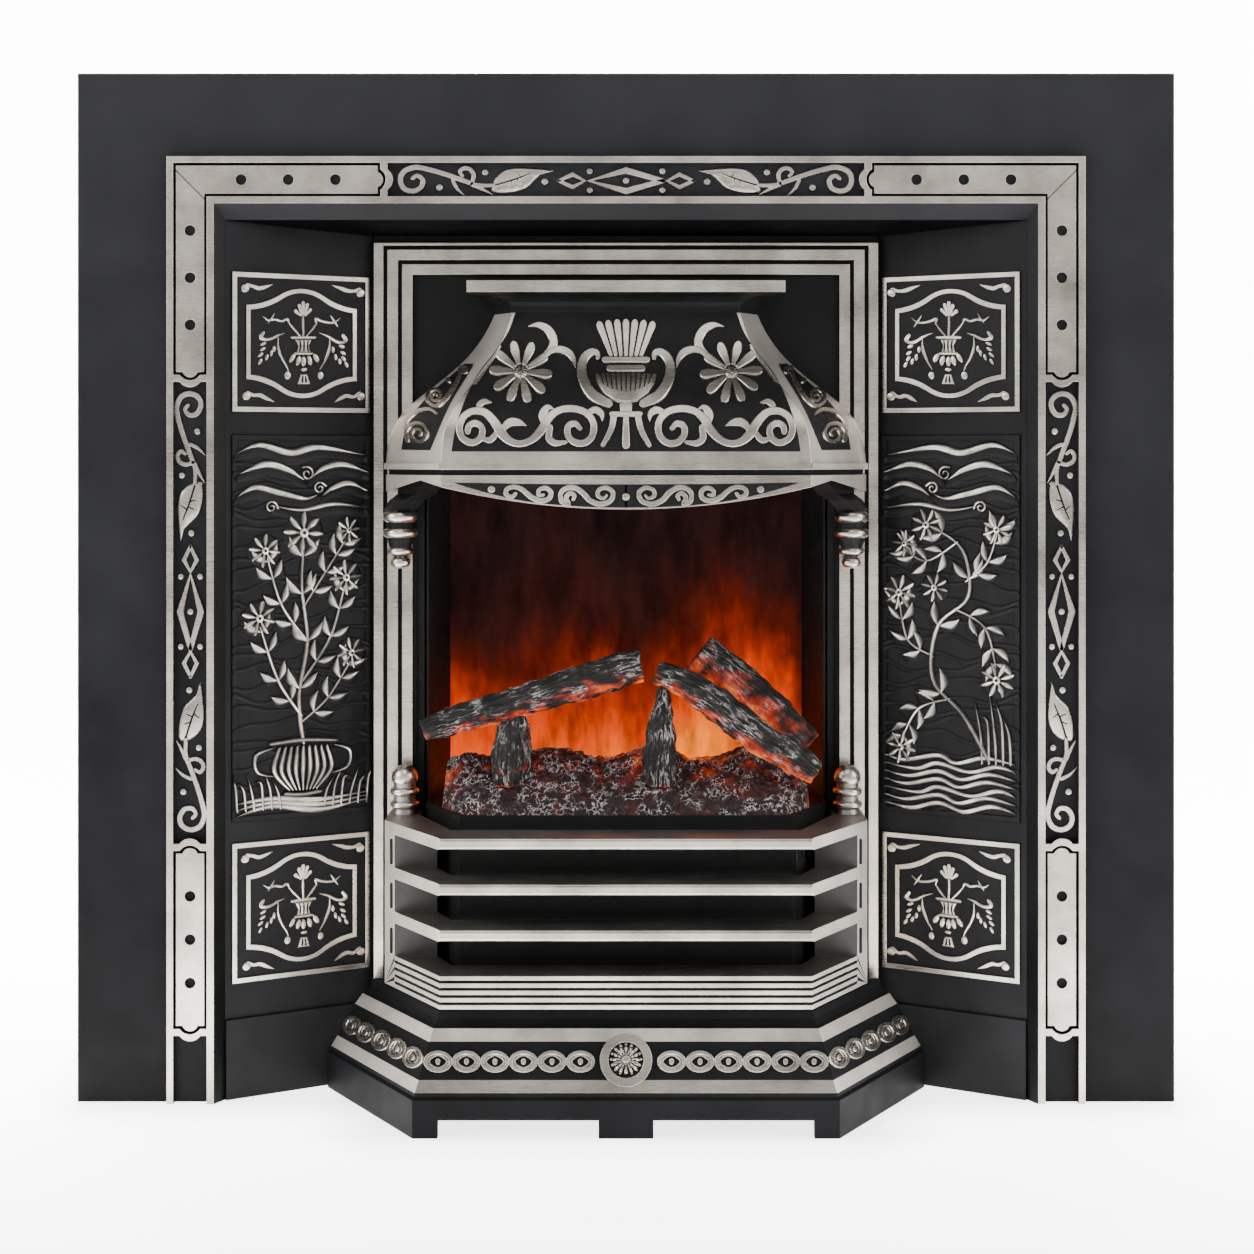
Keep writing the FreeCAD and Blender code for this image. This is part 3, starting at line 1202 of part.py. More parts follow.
# Housing of the electric fire
housing_half = S.housing_width / 2
inner_half = housing_half - S.sheet
cover_plate_back = S.housing_back + S.sheet
cover_screws = [(side * (housing_half - S.housing_flange / 2), S.housing_height * share)
                for side in (-1, 1) for share in BOLT_HEIGHT_SHARES]


def make_housing():
    body = new_body("fire_housing")
    outer = rectangle(-housing_half, housing_half, 0, S.housing_height)
    inner = rectangle(-inner_half, inner_half, S.sheet, S.housing_height - S.sheet)
    prism(body, FRONT, arch_back, S.housing_back, outer, inner)
    reach = S.housing_flange
    rim = gate(housing_half + reach, S.housing_height + reach, inner_half, S.housing_height - S.sheet)
    prism(body, FRONT, arch_back, arch_back + S.sheet, rim)
    lip = rectangle(-housing_half + reach, housing_half - reach, reach, S.housing_height - reach)
    prism(body, FRONT, S.housing_back - S.sheet, S.housing_back, outer, lip)
    threads = holes(cover_screws, S.screw_diameter / 2)
    prism(body, FRONT, S.housing_back, S.housing_back - S.sheet, *threads, cut=True)
    around_heads = holes(lower_hood_bolts, S.nut_across)
    prism(body, FRONT, arch_back, arch_back + S.sheet, *around_heads, cut=True)
    node(body)

    cover = new_body("rear_cover")
    prism(cover, FRONT, S.housing_back, cover_plate_back, outer)
    slots = []
    for step in range(int(S.vent_count.number)):
        low = S.housing_height * VENT_BASE_SHARE + S.vent_pitch * step
        slots.append(rectangle(-S.vent_length / 2, S.vent_length / 2, low, low + S.vent_height))
    gland_hole = (S.gland_across, S.gland_height, S.gland_diameter / 2 - S.sheet)
    prism(cover, FRONT, S.housing_back, cover_plate_back, *slots, gland_hole, cut=True)
    screw_holes = holes(cover_screws, S.screw_diameter / 2 + S.running_clearance)
    prism(cover, FRONT, S.housing_back, cover_plate_back, *screw_holes, cut=True)
    node(cover)

    screws = new_body("cover_screws")
    screws.AllowCompound = True
    heads = holes(cover_screws, S.screw_diameter)
    prism(screws, FRONT, cover_plate_back, cover_plate_back + S.screw_head, *heads)
    shank = S.screw_diameter / 2 - S.running_clearance
    prism(screws, FRONT, cover_plate_back, S.housing_back - S.sheet * 3, *holes(cover_screws, shank))
    node(screws)

    gland = new_body("cable_gland")
    place = (S.gland_across, S.gland_height)
    bore = (*place, S.gland_bore / 2)
    neck = (*place, S.gland_diameter / 2 - S.sheet - S.running_clearance)
    barrel = (*place, S.gland_diameter / 2)
    prism(gland, FRONT, S.housing_back - S.sheet * 2, cover_plate_back, neck, bore)
    prism(gland, FRONT, cover_plate_back, cover_plate_back + S.gland_length, barrel, bore)
    node(gland)


# Chamber, tray and apron
chamber_half = S.chamber_back_width / 2
tray_half = S.tray_width / 2
apron_cant_end = -S.apron_front + S.apron_cant_depth
apron_outer = tray_half + S.sheet
apron_angle = slope_angle(S.apron_cant_depth, apron_outer - apron_half)
screen_back = S.chamber_back + S.screen_thickness
heater_base = S.chamber_roof + S.sheet


def make_chamber():
    body = new_body("chamber_lining")
    front_half = inner_half - S.sheet * 2
    top = S.chamber_roof
    for side in (-1, 1):
        cheek = [(side * front_half, arch_back), (side * chamber_half, S.chamber_back),
                 (side * (chamber_half + S.sheet), S.chamber_back),
                 (side * (front_half + S.sheet), arch_back)]
        prism(body, PLAN, S.tray_top, top, cheek)
    roof = [(-front_half - S.sheet, arch_back), (front_half + S.sheet, arch_back),
            (chamber_half + S.sheet, screen_back), (-chamber_half - S.sheet, screen_back)]
    prism(body, PLAN, top, heater_base, roof)
    node(body)

    screen = new_body("flame_screen")
    pane = rectangle(-chamber_half, chamber_half, S.tray_top, S.chamber_roof)
    prism(screen, FRONT, S.chamber_back, screen_back, pane)
    node(screen)


def apron_outline(inset, back):
    """The apron's bent sheet from above, standing in by an inset."""
    half = apron_half - inset * tangent(apron_angle / 2)
    outer = apron_outer - inset
    front = -S.apron_front + inset
    cant_end = front + (outer - half) * tangent(apron_angle)
    right = [(outer, back), (outer, cant_end), (half, front)]
    return right + [(-x, y) for x, y in reversed(right)]


def make_tray():
    body = new_body("fuel_tray")
    top = S.tray_top
    prism(body, PLAN, top - S.sheet, top, apron_outline(S.sheet, screen_back + S.sheet))
    for side in (-1, 1):
        outer, inner = side * tray_half, side * (tray_half - S.sheet)
        prism(body, PLAN, 0, top, rectangle(outer, inner, apron_cant_end + S.sheet, arch_back))
    back = rectangle(-tray_half, tray_half, S.sheet, top)
    prism(body, FRONT, screen_back, screen_back + S.sheet, back)
    node(body)

    base = new_body("base_sheet")
    half = S.base_width / 2
    prism(base, PLAN, 0, S.sheet, rectangle(-half, half, -S.base_reach, arch_back))
    node(base)

    apron = new_body("fire_apron")
    back = apron_cant_end + S.apron_return
    bent = apron_outline(0, back) + apron_outline(S.sheet, back)[::-1]
    prism(apron, PLAN, S.apron_foot, S.apron_top, bent)
    prism(apron, SWITCH, S.bezel_rise, -S.sheet * 2, bezel_opening(0), cut=True)
    node(apron)


# Rocker switches in the apron's right cant
SWITCH = View("XZ_Plane", 1, x=apron_half, depth=S.apron_front, angle=apron_angle)
SWITCH_EDGE = View("YZ_Plane", 1, x=-S.apron_front, depth=apron_half, angle=apron_angle)
bezel_half = S.switch_pitch / 2 + S.rocker_width / 2 + S.bezel_rim
bezel_tall = S.rocker_height / 2 + S.bezel_rim


def bezel_opening(clear):
    half, tall = bezel_half - clear, bezel_tall - clear
    low, high = S.switch_height - tall, S.switch_height + tall
    return rectangle(S.switch_along - half, S.switch_along + half, low, high)


def make_switches():
    bezel = new_body("switch_bezel")
    depth = S.rocker_depth + S.bezel_rim
    prism(bezel, SWITCH, -depth, 0, bezel_opening(S.seat_clearance))
    prism(bezel, SWITCH, 0, S.bezel_rise, bezel_opening(-S.bezel_rim))
    wells = []
    for middle in rocker_middles():
        half, tall = S.rocker_width / 2 + S.rocker_gap, S.rocker_height / 2 + S.rocker_gap
        wells.append(rectangle(middle - half, middle + half, S.switch_height - tall, S.switch_height + tall))
    prism(bezel, SWITCH, S.bezel_rise, -S.rocker_depth - S.rocker_gap, *wells, cut=True)
    axle = (pin_depth, S.switch_height, S.rocker_pin / 2 + S.running_clearance)
    start = S.switch_along - bezel_half + S.bezel_rim / 3
    prism(bezel, SWITCH_EDGE, start, S.switch_along + bezel_half - S.bezel_rim / 3, axle, cut=True)
    node(bezel)
    for label, middle in zip(("flame_rocker", "heat_rocker"), rocker_middles()):
        make_rocker(label, middle)


# The rockers turn about a pin behind the bezel's face.
pin_depth = S.rocker_depth * ROCKER_PIN_SHARE


def rocker_middles():
    return S.switch_along - S.switch_pitch / 2, S.switch_along + S.switch_pitch / 2


def make_rocker(label, middle):
    body = new_body(label)
    tall, rise = S.rocker_height / 2, S.rocker_rise
    waist = pin_depth * ROCKER_WAIST_SHARE
    outline = [(waist, 0), (-rise, tall), (pin_depth, tall), (S.rocker_depth - S.rocker_gap * 2, 0),
               (pin_depth, -tall), (-rise, -tall)]
    tipped = []
    for depth, height in outline:
        inward, up = depth - pin_depth, as_size(height)
        tipped.append((pin_depth + inward * cosine(S.rocker_tilt) - up * sine(S.rocker_tilt),
                       S.switch_height + inward * sine(S.rocker_tilt) + up * cosine(S.rocker_tilt)))
    half = S.rocker_width / 2
    prism(body, SWITCH_EDGE, middle - half, middle + half, tipped)
    reach = half + S.rocker_gap + S.bezel_rim / 4
    prism(body, SWITCH_EDGE, middle - reach, middle + reach, (pin_depth, S.switch_height, S.rocker_pin / 2))
    node(body)


# Ember bed and logs
def log_sections(label):
    """Many-sided rings along a log's axis, each square to it, with the bed's size as their measure."""
    shares = LOG_SHARES[label]
    places = [(S.bed_width * x, bed_front + S.bed_depth * y, S.tray_top + S.bed_height * z)
              for x, y, z, _ in shares]
    rings = []
    for index, (place, row) in enumerate(zip(places, shares)):
        before, after = places[max(index - 1, 0)], places[min(index + 1, len(places) - 1)]
        way = FreeCAD.Vector(*(second.number - first.number for first, second in zip(before, after)))
        ring = doc.addObject("Part::RegularPolygon", "log_ring")
        ring.Polygon = LOG_SIDES
        ring.Placement.Rotation = FreeCAD.Rotation(FreeCAD.Vector(0, 0, 1), way)
        for axis, size in zip("xyz", place):
            bind(ring, "Placement.Base." + axis, size)
        bind(ring, "Circumradius", S.bed_height * row[3])
        rings.append(ring)
    return rings


def log_form(label):
    form = doc.addObject("Part::Loft", label + "_form")
    form.Sections = log_sections(label)
    form.Solid = True
    form.Ruled = True
    doc.recompute()
    return form


def cut_from(label, base, tools):
    """A piece bedded against its neighbours: each of them is cut out of it."""
    for tool in tools:
        piece = doc.addObject("Part::Cut", "bedded")
        piece.Base = base
        piece.Tool = tool
        base = piece
    base.Label = label
    doc.recompute()
    return node(base)


def make_fuel():
    bed = new_body("ember_bed_form")
    sections = []
    for across, height, back in BED_SHARES:
        front = bed_front + S.bed_depth * back
        rear = bed_front + S.bed_depth
        base = S.tray_top
        crest = base + S.bed_height * height
        profile = [(front, base), (rear, base), (rear, crest - S.bed_lip / 2),
                   (rear - S.bed_lip, crest), ((front + rear) / 2, base + (crest - base) * BED_MIDDLE_SHARE),
                   (front, base + S.bed_lip)]
        sections.append((S.bed_width * across, profile))
    lofted(bed, SIDE, sections, ruled=True)
    channel = rectangle(board_front - S.seat_clearance, board_front + S.board_depth + S.seat_clearance,
                        S.tray_top, S.tray_top + S.bed_lip)
    board_half = S.lamp_pitch * S.lamp_count / 2 + S.seat_clearance
    prism(bed, SIDE, -board_half, board_half, channel, cut=True)
    forms = {label: log_form(label) for label in LOG_SHARES}
    cut_from("ember_bed", bed, list(forms.values()))
    for label in ("log_stub_left", "log_stub_right"):
        cut_from(label, forms[label], [forms["log_left"], forms["log_right"], forms["log_rear"]])
    for label in ("log_left", "log_right", "log_rear"):
        forms[label].Label = label
        node(forms[label])


# Light boards
board_front = bed_front + S.bed_depth / 2


def make_boards():
    half = S.lamp_pitch * S.lamp_count / 2
    first = -half + (S.lamp_pitch - S.lamp_size) / 2
    starts = [first + S.lamp_pitch * step for step in range(int(S.lamp_count.number))]
    ember = new_body("ember_board")
    low, top = S.tray_top, S.tray_top + S.board_thickness
    prism(ember, PLAN, low, top, rectangle(-half, half, board_front, board_front + S.board_depth))
    lamp_y = board_front + (S.board_depth - S.lamp_size) / 2
    lamps = [rectangle(start, start + S.lamp_size, lamp_y, lamp_y + S.lamp_size) for start in starts]
    prism(ember, PLAN, top, top + S.lamp_height, *lamps)
    node(ember)
    flame = new_body("flame_board")
    board_low = S.tray_top - S.sheet * 2 - S.board_depth
    back = screen_back + S.sheet
    face = back + S.board_thickness
    prism(flame, FRONT, back, face, rectangle(-half, half, board_low, board_low + S.board_depth))
    lamp_z = board_low + (S.board_depth - S.lamp_size) / 2
    lamps = [rectangle(start, start + S.lamp_size, lamp_z, lamp_z + S.lamp_size) for start in starts]
    prism(flame, FRONT, face, face + S.lamp_height, *lamps)
    node(flame)


# Flicker spindle
motor_face = inner_half - S.motor_length
spindle_start = motor_face + S.spindle_plug - S.spindle_length
bearing_start = spindle_start + S.spindle_plug
bearing_end = bearing_start + S.bearing_length
spindle_place = (S.spindle_back, S.spindle_height)


def turned_rectangle(width, height, degrees, reach=0):
    """Corners of a rectangle turned about the spindle's or the fan's axis."""
    turn = math.radians(degrees)
    corners = ((reach - width / 2, -height / 2), (reach + width / 2, -height / 2),
               (reach + width / 2, height / 2), (reach - width / 2, height / 2))
    along, up = math.cos(turn), math.sin(turn)
    return [(a * along - b * up, a * up + b * along) for a, b in corners]


def shifted(points, place):
    return [(place[0] + a, place[1] + b) for a, b in points]


def make_spindle():
    body = new_body("flicker_spindle")
    radius = S.spindle_diameter / 2
    prism(body, SIDE, spindle_start, motor_face + S.spindle_plug, (*spindle_place, radius))
    count = int(S.vane_count.number)
    first = (bearing_end + motor_face - S.vane_pitch * (count - 1) - S.vane_length) / 2
    for step in range(count):
        near = first + S.vane_pitch * step
        vane = turned_rectangle(S.vane_width, S.vane_thickness, VANE_TURN * step)
        prism(body, SIDE, near, near + S.vane_length, shifted(vane, spindle_place))
    node(body)

    bearing = new_body("spindle_bearing")
    half = S.bearing_block / 2
    arm = rectangle(S.spindle_back - half, S.housing_back, S.spindle_height - half, S.spindle_height + half)
    hole = (*spindle_place, radius + S.running_clearance)
    prism(bearing, SIDE, bearing_start, bearing_end, arm, hole)
    node(bearing)

    motor = new_body("flame_motor")
    prism(motor, SIDE, motor_face, inner_half, (*spindle_place, S.motor_radius))
    ears = S.motor_radius + S.motor_ear
    plate = rectangle(S.spindle_back - S.motor_ear, S.spindle_back + S.motor_ear,
                      S.spindle_height - ears, S.spindle_height + ears)
    prism(motor, SIDE, inner_half - S.sheet, inner_half, plate)
    prism(motor, SIDE, motor_face, motor_face + S.spindle_plug + S.seat_clearance, hole, cut=True)
    node(motor)


# Fan heater above the chamber
case_half = S.heater_width / 2
case_front = arch_back + S.grille_depth
case_top = heater_base + S.heater_height
fan_place = (S.fan_setback, heater_base + S.heater_height / 2)
fan_start = -case_half + S.sheet + S.fan_gap
motor_start = case_half - S.sheet - S.blower_motor_length


def make_heater():
    case = new_body("heater_case")
    wall = S.sheet
    shell = [(case_front, heater_base), (S.heater_back, heater_base), (S.heater_back, case_top),
             (case_front, case_top), (case_front, case_top - wall), (S.heater_back - wall, case_top - wall),
             (S.heater_back - wall, heater_base + wall), (case_front, heater_base + wall)]
    prism(case, SIDE, -case_half, case_half, shell)
    end = rectangle(case_front, S.heater_back, heater_base, case_top)
    for near in (-case_half, case_half - wall):
        prism(case, SIDE, near, near + wall, end)
    shaft_hole = (*fan_place, S.fan_shaft / 2 + S.running_clearance)
    prism(case, SIDE, -case_half, -case_half + wall, shaft_hole, cut=True)
    slots = []
    for step in range(int(S.vent_count.number)):
        low = case_front + S.fan_radius + S.vent_pitch / 2 * step
        slots.append(rectangle(-S.fan_length / 2, S.fan_length / 2, low, low + S.vent_height))
    prism(case, PLAN, case_top, case_top - wall, *slots, cut=True)
    node(case)

    fan = new_body("blower_wheel")
    prism(fan, SIDE, -case_half, motor_start + S.spindle_plug, (*fan_place, S.fan_shaft / 2))
    fan_end = fan_start + S.fan_length
    for near in (fan_start, fan_end - S.fan_disc):
        prism(fan, SIDE, near, near + S.fan_disc, (*fan_place, S.fan_radius))
    blades = []
    count = int(S.fan_blade_count.number)
    for step in range(count):
        reach = S.fan_radius - S.fan_blade_width / 2 - S.fan_blade_thickness
        blade = turned_rectangle(S.fan_blade_width, S.fan_blade_thickness, 360 / count * step, reach)
        blades.append(shifted(blade, fan_place))
    prism(fan, SIDE, fan_start, fan_end, *blades)
    node(fan)

    motor = new_body("blower_motor")
    prism(motor, SIDE, motor_start, case_half - wall, (*fan_place, S.blower_motor_radius))
    hub = (*fan_place, S.fan_shaft / 2 + S.running_clearance)
    prism(motor, SIDE, motor_start, motor_start + S.spindle_plug + S.seat_clearance, hub, cut=True)
    node(motor)

    element = new_body("heating_element")
    element.AllowCompound = True
    middle = (S.element_count - 1) / 2
    rods = [(S.element_setback, fan_place[1] + S.element_pitch * (step - middle), S.element_rod / 2)
            for step in range(int(S.element_count.number))]
    prism(element, SIDE, -case_half + wall, case_half - wall, *rods)
    node(element)

    grille = new_body("outlet_grille")
    rim = S.sheet * 2
    outer = rectangle(-case_half, case_half, heater_base, case_top)
    inner = rectangle(-case_half + rim, case_half - rim, heater_base + rim, case_top - rim)
    prism(grille, FRONT, arch_back, case_front, outer, inner)
    count = int(S.grille_slat_count.number)
    pitch = (S.heater_height - rim * 2) / (count + 1)
    for step in range(count):
        low = heater_base + rim + pitch * (step + 1) - S.grille_slat / 2
        slat = rectangle(-case_half + rim, case_half - rim, low, low + S.grille_slat)
        prism(grille, FRONT, arch_back, case_front, slat)
    node(grille)


# Lugs that tie the plate to the wall
def make_lugs():
    lugs = new_body("fixing_lugs")
    lugs.AllowCompound = True
    half = S.lug_width / 2
    back = S.plate_thickness
    for side, height in lug_places:
        outer, low, high = side * S.lug_across, height - half, height + half
        base = rectangle(outer - side * S.lug_width, outer, low, high)
        prism(lugs, FRONT, back, back + S.lug_thickness, base)
        ear = rectangle(outer - side * S.lug_thickness, outer, low, high)
        prism(lugs, FRONT, back, back + S.lug_reach, ear)
    eye_y = back + S.lug_reach - half
    for height in (S.lug_low, S.lug_high):
        prism(lugs, SIDE, -S.lug_across, S.lug_across, (eye_y, height, S.lug_hole / 2), cut=True)
    prism(lugs, FRONT, back, back + S.lug_thickness, *holes(lug_bolts, bolt_hole), cut=True)
    node(lugs)


make_front_frame()
make_head_panel()
make_side_panel()
make_tiles()
make_clamps()
make_arch_panel()
make_hood()
make_casting_bolts()
make_corbel()
make_fire_bars()
make_finials()
make_ash_cover()
make_rosette()
make_housing()
make_chamber()
make_tray()
make_switches()
make_boards()
make_fuel()
make_spindle()
make_heater()
make_lugs()

doc.recompute()
failed = [thing.Label for thing in doc.Objects if {"Invalid", "Error"} & set(thing.State)]
if failed:
    raise RuntimeError("failed: " + ", ".join(failed))
for thing in nodes:
    if thing.Shape.isNull() or not thing.Shape.isValid() or not thing.Shape.Solids:
        raise RuntimeError("bad shape: " + thing.Label)
os.makedirs("parts", exist_ok=True)
for thing in nodes:
    thing.Shape.exportStep(f"parts/{thing.Label}.step")
print(len(nodes), "sub-parts written")
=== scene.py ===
"""Looks of the fireplace insert: finishes, cast ornament, the log-effect fire, floor, light and camera.

Metres in the part's own frame. Ornament is drawn in the coordinates of the picture, a square of 1254
units seen from EYE, and laid on the surface that the sight line meets, so that it keeps its place there.
"""
import json
import math

import bpy
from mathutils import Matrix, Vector, noise
from mathutils.bvhtree import BVHTree


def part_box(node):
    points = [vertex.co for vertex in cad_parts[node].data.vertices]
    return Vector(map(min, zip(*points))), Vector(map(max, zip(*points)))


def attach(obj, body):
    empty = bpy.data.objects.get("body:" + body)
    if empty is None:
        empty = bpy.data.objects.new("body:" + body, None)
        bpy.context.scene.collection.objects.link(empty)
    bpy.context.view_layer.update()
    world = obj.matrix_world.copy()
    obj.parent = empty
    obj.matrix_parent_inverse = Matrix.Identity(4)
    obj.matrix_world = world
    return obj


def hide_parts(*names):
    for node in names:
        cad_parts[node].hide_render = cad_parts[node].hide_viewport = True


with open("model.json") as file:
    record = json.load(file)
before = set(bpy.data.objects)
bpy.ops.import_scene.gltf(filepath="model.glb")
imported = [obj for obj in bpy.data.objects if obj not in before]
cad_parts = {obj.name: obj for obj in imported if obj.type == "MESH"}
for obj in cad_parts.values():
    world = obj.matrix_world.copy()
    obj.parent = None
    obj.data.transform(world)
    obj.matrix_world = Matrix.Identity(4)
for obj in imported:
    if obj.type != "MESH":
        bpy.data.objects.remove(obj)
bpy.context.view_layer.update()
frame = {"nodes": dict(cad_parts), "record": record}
cad = frame["nodes"]

MM = 0.001
# The picture's camera: its place, then focal length, middle, horizon and width in units of the picture
EYE = Vector((0, -1.95, 0.592))
FOCAL, MIDDLE, HORIZON, PICTURE = 2107, 626, 462, 1254


def put(name, data):
    """A new object in the scene."""
    thing = bpy.data.objects.new(name, data)
    bpy.context.scene.collection.objects.link(thing)
    return thing


def smooth_mesh(name, places, faces, *finishes):
    mesh = bpy.data.meshes.new(name)
    mesh.from_pydata(places, [], faces)
    for finish in finishes:
        mesh.materials.append(finish)
    for face in mesh.polygons:
        face.use_smooth = True
    return mesh


# Finishes
class Finish:
    """A procedural material under construction."""

    def __init__(self, name):
        self.material = bpy.data.materials.new(name)
        self.material.use_nodes = True
        self.tree = self.material.node_tree
        self.surface = self.tree.nodes["Principled BSDF"]
        self.place = self.node("ShaderNodeTexCoord").outputs["Object"]

    def node(self, kind, **values):
        made = self.tree.nodes.new(kind)
        for key, value in values.items():
            setattr(made, key, value)
        return made

    def link(self, source, target):
        self.tree.links.new(source, target)

    def stretched(self, scale):
        mapping = self.node("ShaderNodeMapping")
        mapping.inputs["Scale"].default_value = scale
        self.link(self.place, mapping.inputs["Vector"])
        return mapping.outputs["Vector"]

    def noise(self, scale, detail=4, rough=0.6, place=None):
        made = self.node("ShaderNodeTexNoise")
        made.inputs["Scale"].default_value = scale
        made.inputs["Detail"].default_value = detail
        made.inputs["Roughness"].default_value = rough
        self.link(place or self.place, made.inputs["Vector"])
        return made.outputs["Fac"]

    def ramp(self, source, stops):
        made = self.node("ShaderNodeValToRGB")
        ramp = made.color_ramp
        while len(ramp.elements) < len(stops):
            ramp.elements.new(0.5)
        for element, (where, colour) in zip(ramp.elements, stops):
            element.position = where
            element.color = (*colour, 1)
        self.link(source, made.inputs["Fac"])
        return made.outputs["Color"]

    def span(self, source, low, high, out_low, out_high):
        made = self.node("ShaderNodeMapRange")
        for key, value in (("From Min", low), ("From Max", high), ("To Min", out_low), ("To Max", out_high)):
            made.inputs[key].default_value = value
        self.link(source, made.inputs["Value"])
        return made.outputs["Result"]

    def math(self, operation, first, second=0):
        made = self.node("ShaderNodeMath", operation=operation)
        for socket, value in zip(made.inputs, (first, second)):
            if isinstance(value, (int, float)):
                socket.default_value = value
            else:
                self.link(value, socket)
        return made.outputs["Value"]

    def plus(self, first, second):
        return self.math("ADD", first, second)

    def less(self, first, second):
        return self.math("SUBTRACT", first, second)

    def times(self, first, second):
        return self.math("MULTIPLY", first, second)

    def past(self, value, edge):
        """How far a value is past an edge, and zero before it."""
        return self.math("MAXIMUM", self.less(value, edge))

    def swing(self, noise_value, reach):
        """A noise made to vary about zero."""
        return self.times(self.less(noise_value, 0.5), reach)

    def contour(self, source, middle, width):
        """A thin line where a value passes its middle."""
        return self.span(self.math("ABSOLUTE", self.less(source, middle)), 0, width, 1, 0)

    def axis(self, name, source=None):
        parts = self.node("ShaderNodeSeparateXYZ")
        self.link(source or self.place, parts.inputs["Vector"])
        return parts.outputs[name]

    def bump(self, height, strength, distance, soft_edge=0):
        made = self.node("ShaderNodeBump")
        made.inputs["Strength"].default_value = strength
        made.inputs["Distance"].default_value = distance
        self.link(height, made.inputs["Height"])
        if soft_edge:
            edge = self.node("ShaderNodeBevel", samples=4)
            edge.inputs["Radius"].default_value = soft_edge
            self.link(edge.outputs["Normal"], made.inputs["Normal"])
        self.link(made.outputs["Normal"], self.surface.inputs["Normal"])

    def set(self, **values):
        for key, value in values.items():
            socket = self.surface.inputs[key.replace("_", " ")]
            if hasattr(value, "is_linked"):
                self.link(value, socket)
            else:
                socket.default_value = value


def plain(name, dark, light, rough, metallic=0, scale=30, grain=900, bump=0.15, soft_edge=0.0006, shine=0.5,
          rub_and_top_light=False):
    """A mottled finish between two colours, with a fine grain, and when asked, paler towards the top: painted
    light, as if lit from above.
    """
    made = Finish(name)
    patches = made.noise(scale)
    if rub_and_top_light:
        # Painted light: the tone rises with height, as if the top were lit more
        patches = made.plus(made.times(patches, 0.4), made.span(made.axis("Z"), 0, 1, 0.1, 0.5))
    made.set(Base_Color=made.ramp(patches, [(0.3, dark), (0.7, light)]), Metallic=metallic,
             Specular_IOR_Level=shine)
    made.set(Roughness=made.span(made.noise(scale * 3), 0.3, 0.7, rough - 0.07, rough + 0.07))
    made.bump(made.noise(grain, 3), bump, 0.0004, soft_edge)
    return made.material


def brushed(name, dark, light, rough, along=(30, 30, 900), metallic=1.0):
    """Polished metal with a fine brushed grain and a slow change of tone."""
    made = Finish(name)
    tone = made.noise(14, 5)
    made.set(Base_Color=made.ramp(tone, [(0.3, dark), (0.68, light)]), Metallic=metallic)
    grain = made.noise(1.0, 3, 0.7, made.stretched(along))
    made.set(Roughness=made.span(grain, 0.25, 0.75, rough - 0.05, rough + 0.05))
    made.bump(grain, 0.008, 0.0002, soft_edge=0.0009)
    return made.material


CAST = {"grain": 1400, "bump": 0.22}
black = plain("black_iron_finish", (0.0024, 0.0025, 0.0028), (0.0086, 0.0087, 0.0096), 0.46, scale=9,
              soft_edge=0.001, shine=0.1, **CAST)
# The plate takes the painted light from above: paler towards its top
plate = plain("plate_black_finish", (0.0024, 0.0025, 0.0028), (0.0158, 0.016, 0.0175), 0.46, scale=9,
              soft_edge=0.001, shine=0.06, rub_and_top_light=True, **CAST)
# A darker, less glossy copy of the black iron for the ash cover, so that it stays dark low down: painted
# shade
foot = plain("foot_black_finish", (0.003, 0.0031, 0.0034), (0.0066, 0.0067, 0.0074), 0.5, scale=9,
             soft_edge=0.001, shine=0.04, **CAST)
# Darker black for the recessed arch panel: painted shade
deep = plain("recess_black_finish", (0.0022, 0.0022, 0.0024), (0.0042, 0.0042, 0.0046), 0.5, scale=12,
             shine=0.1, **CAST)
# Near black for the head panel under the frame's top rail: painted shadow
painted_shadow_black = plain("shadow_black_finish", (0.001, 0.001, 0.001), (0.002, 0.002, 0.0021), 0.7, scale=12,
             grain=1400, bump=0.2, shine=0.02)
ground = plain("ornament_ground", (0.0032, 0.0032, 0.0036), (0.006, 0.006, 0.0067), 0.5, scale=40,
               grain=1600, bump=0.3, soft_edge=0, shine=0.12)
# Dark grey for the post blocks' faces set back behind the bars: painted shade
set_back_shade_iron = plain("dull_iron_finish", (0.022, 0.021, 0.02), (0.04, 0.038, 0.036), 0.5, 0.3, shine=0.3)
bright = brushed("polished_iron_finish", (0.25, 0.226, 0.196), (0.57, 0.515, 0.45), 0.28)
# A paler, less metallic copy of the polished iron for the cants: painted sheen, as if the side lamps lit them
cant_painted_sheen = brushed("cant_iron_finish", (0.42, 0.384, 0.34), (0.7, 0.643, 0.575), 0.4, metallic=0.83)


def rubbed():
    """Cast relief, black in its hollows and polished along its crests."""
    made = Finish("relief_finish")
    crest = made.node("ShaderNodeAttribute", attribute_name="rub").outputs["Fac"]
    rub_and_top_light = made.plus(crest, made.swing(made.noise(60, 4), 0.5))
    made.set(Base_Color=made.ramp(rub_and_top_light, [(0.45, (0.006, 0.006, 0.006)), (0.8, (0.12, 0.112, 0.102)),
                                         (1, (0.48, 0.444, 0.4))]))
    made.set(Metallic=made.span(rub_and_top_light, 0.3, 0.7, 0.1, 0.95), Roughness=made.span(rub_and_top_light, 0.3, 0.9, 0.45, 0.28))
    made.bump(made.noise(900, 3), 0.08, 0.0003)
    return made.material


